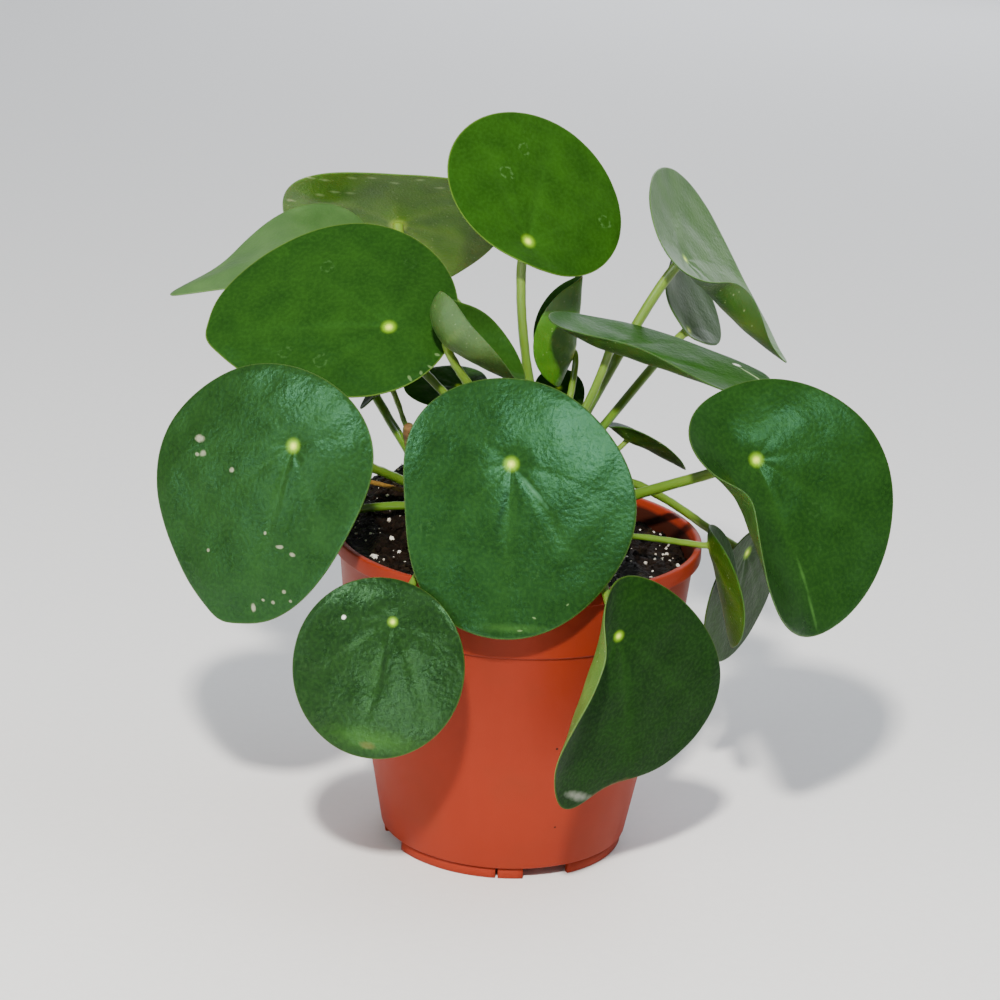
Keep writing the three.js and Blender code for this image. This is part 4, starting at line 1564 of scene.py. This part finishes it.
FRONT_GROOVE_SHADE_SHEEN_AND_WAX = (
    # Painted shade: a dark line down the midrib's groove.
    Spot(13, -2.0, 11.5, 1.2, -11, "#0a1c09", 0.9, 1.4),
    # Painted sheen: a pale blue-green streak along the ridge to the lower right.
    Spot(7.5, 6.6, 7, 0.9, 43, "#5f9a78", 0.55, 1.4),
    Spot(50, 3, 1.6, 12, 0, "#4c7c34", 0.35, 1.4),
    Spot(46.5, 9, 0.3, 0.7, -20, WAX, 0.35), Spot(42, 19, 0.3, 0.6, 40, WAX, 0.35),
    Spot(50.6, 4.9, 0.3, 0.9, 5, WAX, 0.35),
)
RIGHT_NICKS = (
    Spot(38.3, 0.5, 5.4, 0.7, -3, "#4f8038", 0.5, 1.3),
    Spot(50, -0.8, 7, 0.7, -9, "#4f8038", 0.5, 1.3),
)
LOW_LEFT_MARKS_AND_GROOVE_SHADE = (
    Spot(2.8, -14.9, 0.8, 0.7, 0, "#f0f2ea", 0.95), Spot(38.6, 2.4, 1.2, 2.6, 0, CORK, 0.45),
    # Painted shade: a near-black line down the midrib's groove.
    Spot(12, 0.9, 12, 1.0, 8, "#081808", 0.85, 1.3),
    Spot(36.5, 3, 4, 17, 6, "#3c6a20", 0.45, 1.3),
)
LOW_RIGHT_MARKS = (
    Spot(50, -20.5, 7, 1.7, 51, "#8f9488", 0.6, 0.9),
    Spot(53.6, -8, 8, 0.9, 88, CORK, 0.6, 0.9),
)
LIME_SPOTS = tuple(
    Spot(*place, 0.9, 1.9, 0, "#a9bd84", 0.5, 0.9)
    for place in ((-13.1, 26.2), (-15.8, 21.2), (-16, 16.2), (-23, 29.5), (-23, 24.4),
                  (-26.8, 15.5), (-28.2, 9), (-25.7, 1.4), (-28.7, -6.8), (-6.8, 36.5),
                  (-23.1, -13.5), (-9.2, -25.5))
)
LIME_RUNS = (
    Spot(-13.4, 14.7, 0.5, 1.2, 60, WAX, 0.3), Spot(-15.6, 10.1, 0.5, 1.0, 80, WAX, 0.3),
    Spot(-7.1, 19.2, 0.5, 1.2, 30, WAX, 0.3), Spot(-17, 4.4, 0.4, 0.9, 100, WAX, 0.3),
    Spot(-10.5, 17, 0.5, 0.7, 0, WAX, 0.3),
)
LEVEL_MARKS = (
    Spot(48, 7.5, 7.5, 0.45, -35, "#a9c48e", 0.7), Spot(51, 10.5, 7, 2.2, -35, "#22401a", 0.8),
    Spot(41.9, 12.3, 1.6, 0.9, 0, "#e8eee0", 0.9),
)

# Greens of the upper side, from the oldest and darkest leaves to the youngest.
# Its spots hold a painted shade line in the low left leaf's groove.
OLD = Cuticle("old", "#0a1f0a", "#10270b", rings=0.04, eye=0.5, gloss=0.5, roughness=0.28,
              sheen="#a8e69c", pucker_mm=0.13, spots=LOW_LEFT_MARKS_AND_GROOVE_SHADE)
SMALL = Cuticle("small", "#18300e", "#224014", rings=0.0, eye=0.4, gloss=0.1)
TUCKED = Cuticle("shaded", "#0e2409", "#14300c", rings=0.04, eye=0.6, gloss=0.06,
                 spots=LOW_RIGHT_MARKS)
# Its spots hold the front leaf's painted groove shade and painted sheen streak.
FRONT = Cuticle("front", "#112b0d", "#183610", rings=0.06, gloss=0.4, roughness=0.27,
                pucker_mm=0.1, spots=FRONT_GROOVE_SHADE_SHEEN_AND_WAX)
LEFT = Cuticle("left", "#142d0c", "#1b3810", rings=0.04, gloss=0.45, roughness=0.29,
               pucker_mm=0.13, spots=LEFT_SCARS)
RIGHT = Cuticle("right", "#132f0c", "#1a3910", rings=0.05, gloss=0.25, roughness=0.3,
                pucker_mm=0.1, spots=RIGHT_NICKS)
MID = Cuticle("mid", "#17350e", "#204211", rings=0.16, gloss=0.12, rim_cover=0.35,
              spots=LIME_RUNS)
LEVEL = Cuticle("level", "#1e4010", "#284e14", rings=0.1, eye=0.5, gloss=0.2,
                spots=LEVEL_MARKS)
HIGH = Cuticle("high", "#1a3a08", "#254a0d", rings=0.3, gloss=0.08, rim_cover=0.3)
# Painted sheen: a paler, greyer green than the leaves' own, standing in part for the grey sheen of
# leaves seen edge-on; the high gloss gives the rest.
GREY_PAINTED_SHEEN = Cuticle("grey", "#3a5a2e", "#4a6a3a", gloss=0.7, sheen="#e2ecd0", roughness=0.4,
               rings=0.1, eye=0.6)
DULL = Cuticle("dull", "#192c12", "#22371a", gloss=0.12, sheen="#dce8d0", rings=0.0)
YOUNG = Cuticle("young", "#1f3f0e", "#294b13", rings=0.05, gloss=0.15, eye=0.5)

# Greens of the under side.
UNDER = LeafUnderside("plain", "#3c5c18", "#4e7022")
# Partly the underside's own yellow-green, partly painted light that comes through the leaf from
# behind.
UNDER_BACK_BACKLIT = LeafUnderside("back", "#3c6410", "#507a1a", dotted=0.2, spots=LIME_SPOTS)
UNDER_FOLDED = LeafUnderside("folded", "#2f4b18", "#3b5c20", dotted=0.15)
# Partly the underside's own yellow-green, partly painted light: lightened for light that comes
# through the leaf from behind.
UNDER_DEEP_BACKLIT = LeafUnderside("deep", "#346606", "#42780a", dotted=0.15)
UNDER_DARK = LeafUnderside("shaded", "#21430c", "#305412")
UNDER_NARROW = LeafUnderside("narrow", "#264c06", "#32600a")

GREEN_STALK = StalkSkin("green", "#4e721c", "#7c9a34")
DEEP_STALK = StalkSkin("deep green", "#4c6a1c", "#6f8f2c")

# Each leaf has its joint; heading, droop and roll; length, width, way from base to joint, taper
# and sideways shift; curl; petiole; finishes; then its folds, turn-ups and waves of the margin.
LEAVES = (
    Leaf("top", (-1, 0, 202), 82, -39, 32, 58, 63, 10, 0, 0, Curl(5, 10, -8, -8),
         Stalk(Shoot.MAIN, 129, 190, 65, 28, 8, 3), HIGH, UNDER, GREEN_STALK, seed=1),
    Leaf("back_left", (-45.1, 62.2, 192.4), 92, 49, 0.5, 68.8, 73.3, 31.7, 0.13, 2,
         Curl(-10, -14.8, 8, 4.5), Stalk(Shoot.MAIN, 127, 92, 46, 38, 16, 3), HIGH, UNDER_BACK_BACKLIT,
         GREEN_STALK, waves=(Wave(45, 32, 0.8), Wave(135, 32, 0.9), Wave(225, 32, 2.4),
         Wave(270, 32, 1.5), Wave(315, 32, -1.6)), seed=2),
    Leaf("left_high", (-44, -7, 173.8), 179, 4, -40.5, 80, 66.7, 21.3, 0.18, -7.2,
         Curl(-12.8, -13.3, -9.4, -6.1), Stalk(Shoot.MAIN, 116, 178, 45, 25, 8, 2.8), MID, UNDER,
         GREEN_STALK, waves=(Wave(14, 12, 1.2), Wave(90, 32, -2), Wave(180, 32, 1.2),
         Wave(270, 32, 2.1)), seed=3),
    Leaf("left_far", (-72.4, 34.6, 189), 186, 11.4, -14.5, 68.2, 43.2, 22, 0.59, 1.3,
         Curl(-19, -10.4, 0.2, 21), Stalk(Shoot.LEFT, 128, 175, 52, 25, 14, 3), GREY_PAINTED_SHEEN, UNDER,
         GREEN_STALK, waves=(Wave(0, 24, 3), Wave(45, 32, -2), Wave(100, 40, -7),
         Wave(180, 32, -2.4), Wave(315, 32, -4)), seed=4),
    Leaf("left_big", (-70.9, -40, 142.6), -136, 70, -18.7, 82, 73.2, 23.6, 0.22, -8.5,
         Curl(-12.7, -16.6, -13.3, -7.7), Stalk(Shoot.LEFT, 118, 190, 30, 20, 12, 3), LEFT, UNDER,
         DEEP_STALK, waves=(Wave(-4, 12, 1), Wave(45, 32, 1.8), Wave(90, 32, -2.7),
         Wave(135, 32, 2), Wave(225, 32, -2.7), Wave(270, 32, 2.3)), seed=5),
    Leaf("front", (-3.3, -48.5, 142.9), -89, 66.5, 0, 80, 72, 26.8, 0.07, 1.2,
         Curl(-8.5, -12.3, -8.6, -12.7), Stalk(Shoot.MAIN, 119, -100, 30, 20, 12, 3.2), FRONT,
         UNDER, DEEP_STALK, waves=(Wave(90, 32, 2.3), Wave(135, 32, -2.1), Wave(225, 32, 3.8),
         Wave(270, 32, -3.6), Wave(315, 32, 1.7)), seed=6),
    Leaf("front_left_low", (-37, -68, 97), -130, 70, -28, 56, 54, 13, 0, -1,
         Curl(-10, -25, -10, -10), Stalk(Shoot.MAIN, 112, -140, 34, 45, 2, 2.6), OLD, UNDER,
         DEEP_STALK, seed=7),
    Leaf("front_right_low", (32.3, -67.6, 95.6), -135, 104, -79, 75.5, 64, 18.4, -0.3, 2.7,
         Curl(-11, -25, 2, 7), Stalk(Shoot.MAIN, 112, -72, 36, 42, 2, 2.6), TUCKED, UNDER,
         DEEP_STALK, turns=(TurnUp(-129, 43, 0.08, 86),),
         waves=(Wave(-42, 16, 4), Wave(-12, 18, -2)), seed=8),
    Leaf("right_big", (73, -30, 142.6), -33, 60, 40, 84, 70, 25.5, 0, 3, Curl(-20, -36, -2, 6),
         Stalk(Shoot.MAIN, 110, -10, 20, 30, 12, 3.4), RIGHT, UNDER_DARK, GREEN_STALK,
         turns=(TurnUp(-83, 52, -0.2, 100),), waves=(Wave(100, 30, 3),), seed=9),
    Leaf("right_high", (50.8, 28, 192.6), -27, 52, -11, 72.5, 58, 31, 0.4, 9,
         Curl(22, 23, 12, 5), Stalk(Shoot.MAIN, 126, 51, 42, 28, 10, 3.4), GREY_PAINTED_SHEEN, UNDER_DARK,
         GREEN_STALK, turns=(TurnUp(-59, 23.5, 0.33, 85),), waves=(Wave(-8, 16, 5),), seed=10),
    Leaf("right_far", (54.6, 43, 165.2), -77, 35, -42, 35, 39, 32, -0.05, 1.2, Curl(6, 8, 2, 3.5),
         Stalk(Shoot.MAIN, 120, 46, 33, 34, 8, 3), GREY_PAINTED_SHEEN, UNDER_DARK, GREEN_STALK,
         turns=(TurnUp(-104, 48, 0.06, 36),), waves=(Wave(45, 32, 1), Wave(135, 32, 1)), seed=11),
    Leaf("right_level", (26.8, 0.5, 169.7), -1, 12, 8.5, 74, 40, 22, 0.05, 1.4,
         Curl(-4, 17, 1, 16), Stalk(Shoot.MAIN, 130, -20, 55, 18, 8, 2.8), LEVEL, UNDER_DARK,
         GREEN_STALK, turns=(TurnUp(-111, 36, 0.1, 46),), waves=(Wave(35, 20, 4.5),
         Wave(8, 12, 2)), seed=12),
    Leaf("back_small", (14, 24, 160), 0, -80, 0, 38, 34, 12, 0.1, 0, Curl(10, 10, 10, 10),
         Stalk(Shoot.MAIN, 118, 72, 66, 12, 3, 2.2), YOUNG, UNDER_DEEP_BACKLIT, GREEN_STALK,
         folds=(Fold(Side.LEFT, 0, 8, 70), Fold(Side.RIGHT, 0, 8, 70)), seed=13),
    Leaf("young_folded", (-24.1, -16, 171.7), 24, 34, 11, 46.3, 36.6, 19.3, 0, 0,
         Curl(-5.5, 16.7, 11.6, -0.4), Stalk(Shoot.MAIN, 125, 205, 38, 26, 2, 2.8), YOUNG,
         UNDER_FOLDED, GREEN_STALK, turns=(TurnUp(-132, 73.5, 0.02, 101),
         TurnUp(85, 74, -0.05, 82)), waves=(Wave(0, 32, 1.7), Wave(45, 32, -0.5),
         Wave(135, 32, -1.2), Wave(180, 32, 1), Wave(315, 32, -0.7)), seed=14),
    Leaf("young_shaded", (-22, 28, 146.5), 180, 5, -20, 28, 24, 10, 0.1, 0,
         Curl(0, 0, -10, -10), Stalk(Shoot.MAIN, 117, 140, 45, 10, 5, 1.8), SMALL, UNDER_DARK,
         DEEP_STALK, seed=15),
    Leaf("young_back", (11.5, 32, 146), -85, 50, 0, 20, 17, 7, 0.1, 0, Curl(0, 0, 10, 10),
         Stalk(Shoot.MAIN, 106, 88, 25, 28, 10, 1.6), SMALL, UNDER_DARK, DEEP_STALK, seed=16),
    Leaf("right_small", (35.5, 24, 132.5), 0, 27, 0, 30, 24, 8, 0.1, 0, Curl(0, 0, 5, 5),
         Stalk(Shoot.MAIN, 116, 40, 30, 8, 5, 1.8), SMALL, UNDER_DARK, GREEN_STALK,
         folds=(Fold(Side.RIGHT, 0, 5, 35),), seed=17),
    Leaf("right_narrow", (63, -10, 107.5), 0, 76, 0, 41, 36, 6, 0, 0, Curl(0, 10, 5, 5),
         Stalk(Shoot.MAIN, 105, -15, 8, 30, 3, 2.1), SMALL, UNDER_NARROW, GREEN_STALK,
         folds=(Fold(Side.LEFT, 0, 8, 25), Fold(Side.RIGHT, 0, 8, 25)), seed=18),
    Leaf("right_low", (77.5, 18, 95.5), -35, 100, 0, 50, 44, 9, 0.1, 2, Curl(0, 0, 0, 0),
         Stalk(Shoot.MAIN, 112, 8, 58, 35, 20, 2.8), DULL, UNDER_DARK, GREEN_STALK, seed=19),
    Leaf("left_small", (-44.5, -5, 155), 185, 48, 0, 17, 13, 5, 0.1, 0, Curl(0, 0, 20, 20),
         Stalk(Shoot.LEFT, 136, 150, 55, 6, 3, 1.8), SMALL, UNDER, GREEN_STALK, seed=20),
    Leaf("left_hidden", (-76, -2, 112), 190, 50, 0, 44, 40, 14, 0.1, 0,
         Curl(-10, -10, -10, -10), Stalk(Shoot.LEFT, 113, 185, 4, 20, 10, 2.8), SMALL, UNDER,
         GREEN_STALK, seed=21),
)


@dataclass
class Shoots:
    """The stems, the withered stipules at the left shoot and the cut leaf's old petiole."""

    stipule_length: float = 7.0
    stipule_width: float = 1.7
    stipule_steps: int = 18
    stipule_sides: int = 16
    old_root: float = 116.0
    old_angle: float = 155.0
    old_rise: float = 8.0
    old_length: float = 26.0
    old_sag: float = 2.0
    old_diameter: float = 2.0
    old_flatten: float = 0.8
    old_steps: int = 40
    old_sides: int = 14

    def stipule(self, root: Array, way: Array, seed: int) -> Shell:
        """A withered stipule.

        A pointed scale: its width follows a half sine along its length, it is hollow across
        and curls over towards its tip.

        Args:
            root: where it is attached.
            way: the direction that it points in.
            seed: for its crumples.

        Returns:
            A thin closed shell.
        """
        way = unit(way)
        side = unit(np.cross(way, np.array([0.1, 0.2, 1.0])))
        face = np.cross(side, way)
        t = np.linspace(0.02, 0.99, self.stipule_steps)
        width = self.stipule_width * np.sin(t * math.pi) ** 0.7 * (1 - 0.45 * t)
        turn = np.linspace(0, 2 * math.pi, self.stipule_sides, endpoint=False)
        across = width[:, None] * np.cos(turn)
        thick = 0.14 * np.sin(turn)[None] + 0.25 * (np.cos(turn)[None] * width[:, None]) ** 2
        lift = thick - 1.6 * t[:, None] ** 2
        rows = (root + way * (t * self.stipule_length)[:, None, None]
                + side * across[..., None] + face * lift[..., None])
        rows = rows + 0.2 * ripple(rows.reshape(-1, 3), 2.5, seed).reshape(lift.shape)[..., None]
        uv = np.stack(np.broadcast_arrays(t[:, None], turn[None] / PATTERN_TURN), axis=-1)
        return woven(rows[:, ::-1], uv, rows[0].mean(axis=0), rows[-1].mean(axis=0))

    def build(self, foot: Foot) -> None:
        """Make the stems, stipules and old petiole.

        Args:
            foot: where the pot stands.
        """
        bark = BarkFibre().build()
        for shoot, stem in STEMS.items():
            foot.build(f"bark_{shoot.value}", stem.shell(), [bark], "stem_bark", [shoot.value])
        scales = [self.stipule(STEMS[shoot].at_height(height), compass(angle, rise), seed)
                  for seed, (shoot, height, angle, rise) in enumerate(STIPULES, 1)]
        foot.build("withered_stipules", joined(scales), [DryPaperSkin().build()],
                   "dry_petiole", [])
        root = STEMS[Shoot.LEFT].at_height(self.old_root)
        reach = compass(self.old_angle, self.old_rise) * self.old_length
        end = root + reach - [0, 0, self.old_sag]
        path = bezier([root, root + reach / 2, end], self.old_steps)
        t = np.linspace(0, 1, self.old_steps)
        radii = self.old_diameter / 2 * (1 - 0.25 * np.sin(t * math.pi)) \
            * (1 + 0.05 * np.sin(t * 40))
        old = tube(path, radii, self.old_sides, np.array([0.0, 0.0, 1.0]), self.old_flatten)
        foot.build("cut_petiole", old, [DryPaperSkin("#8a6a2c", "#5a3f1a").build()],
                   "dry_petiole", ["old_petiole"])


# ------------------------------------------------------------------------------------- studio


class Lit(Enum):
    """What a light falls on: everything, only matt reflection, or only gloss."""

    ALL = "all"
    MATT = "matt"
    GLOSS = "gloss"


@dataclass(frozen=True)
class Lamp:
    """A square soft light that faces the plant.

    Its compass angle and its rise are seen from the plant's middle, in degrees. How far away it
    hangs and its edge are in metres.
    """

    name: str
    angle: float
    rise: float
    away: float
    size: float
    watts: float
    colour: str
    use: Lit = Lit.ALL


LAMPS = (
    Lamp("key", -95, 42, 1.3, 0.08, 32, "#fffaf2", Lit.MATT),
    Lamp("sky", 10, 58, 1.6, 1.0, 8, "#eaf4ff", Lit.MATT),
    Lamp("rear", 77, 24, 2.4, 1.8, 26, "#f2f6ff"),
    Lamp("high_card", -69, 40, 1.4, 0.5, 16, "#e6f2ff", Lit.GLOSS),
    Lamp("low_card", -107, 0, 1.3, 0.25, 3, "#e6f2ff", Lit.GLOSS),
    Lamp("left_card", -136, 36, 1.4, 0.4, 10, "#e6f2ff", Lit.GLOSS),
    Lamp("wedge_card", -146, 10, 1.4, 0.2, 1.5, "#e6f2ff", Lit.GLOSS),
    Lamp("side", -145, 14, 1.6, 0.6, 8, "#ffffff", Lit.MATT),
)


@dataclass
class Studio:
    """The camera, the paper floor and the soft lights."""

    distance: float = 900.0
    elevation: float = 17.7
    roll: float = 2.85
    lens: float = 100.0
    sensor: float = 36.0
    aim: tuple[float, float, float] = (-6.2, 0.0, 115.7)
    floor_size: float = 16.0
    floor_lines: int = 33
    lamp_aim: float = 0.13
    surroundings: str = "#f6f8fa"
    surroundings_strength: float = 0.42

    def camera(self, foot: Foot) -> None:
        """Place the camera: it looks along +Y and down, turned a little about its own axis.

        Args:
            foot: where the pot stands.
        """
        tilt = math.radians(self.elevation)
        forward = Vector((0, math.cos(tilt), -math.sin(tilt)))
        aim = Vector(np.array(self.aim) * MM + foot.place)
        lens = bpy.data.cameras.new("camera")
        lens.lens = self.lens
        lens.sensor_width = self.sensor
        lens.clip_end = 50
        camera = bpy.data.objects.new("camera", lens)
        turned = Matrix.Rotation(math.radians(self.roll), 4, "Z")
        upright = forward.to_track_quat("-Z", "Y").to_matrix().to_4x4()
        camera.matrix_world = Matrix.Translation(aim - forward * self.distance * MM) \
            @ upright @ turned
        bpy.context.scene.collection.objects.link(camera)
        bpy.context.scene.camera = camera

    def floor(self) -> None:
        """Lay the paper under the pot: a flat square sheet, divided by a grid of lines."""
        half, lines = self.floor_size / 2, self.floor_lines
        steps = np.linspace(-half, half, lines)
        x, y = np.meshgrid(steps, steps)
        points = np.stack([x, y, np.zeros_like(x)], axis=-1).reshape(-1, 3)
        number = np.arange(lines * lines).reshape(lines, lines)
        quads = np.stack([number[:-1, :-1], number[:-1, 1:], number[1:, 1:], number[1:, :-1]],
                         axis=-1).reshape(-1, 4)
        mesh = bpy.data.meshes.new("paper_floor")
        mesh.from_pydata(points.tolist(), [], quads.tolist())
        mesh.materials.append(SeamlessPaper().build())
        floor = bpy.data.objects.new("paper_floor", mesh)
        bpy.context.scene.collection.objects.link(floor)

    def hang(self, lamp: Lamp, foot: Foot) -> None:
        """Hang a light so that it faces the plant's middle.

        Args:
            lamp: the light.
            foot: where the pot stands.
        """
        light = bpy.data.lights.new(lamp.name, "AREA")
        light.shape, light.size, light.energy = "SQUARE", lamp.size, lamp.watts
        light.color = linear(lamp.colour)[:3]
        stand = bpy.data.objects.new(lamp.name, light)
        stand.visible_camera = False
        stand.visible_diffuse = lamp.use is not Lit.GLOSS
        stand.visible_glossy = lamp.use is not Lit.MATT
        aim = Vector(foot.place) + Vector((0, 0, self.lamp_aim))
        spot = aim + Vector(compass(lamp.angle, lamp.rise) * lamp.away)
        stand.matrix_world = Matrix.Translation(spot) @ (aim - spot).to_track_quat(
            "-Z", "Y").to_matrix().to_4x4()
        bpy.context.scene.collection.objects.link(stand)

    def build(self, foot: Foot) -> None:
        """Set up the studio.

        Args:
            foot: where the pot stands.
        """
        self.camera(foot)
        self.floor()
        world = bpy.data.worlds.new("studio")
        world.use_nodes = True
        background = world.node_tree.nodes["Background"]
        background.inputs[0].default_value = linear(self.surroundings)
        background.inputs[1].default_value = self.surroundings_strength
        bpy.context.scene.world = world
        for lamp in LAMPS:
            self.hang(lamp, foot)
        LOG.info("studio: camera, floor and lights")


def main() -> None:
    """Build the studio, the pot, the soil, the shoots and the leaves."""
    logging.basicConfig(level=logging.INFO, format="%(name)s: %(message)s")
    foot = Foot()
    Studio().build(foot)
    pot = NurseryPot()
    pot.build(foot)
    PottingSoil().build(foot, pot)
    Shoots().build(foot)
    for leaf in LEAVES:
        leaf.build(foot)


if __name__ == "__main__":
    main()
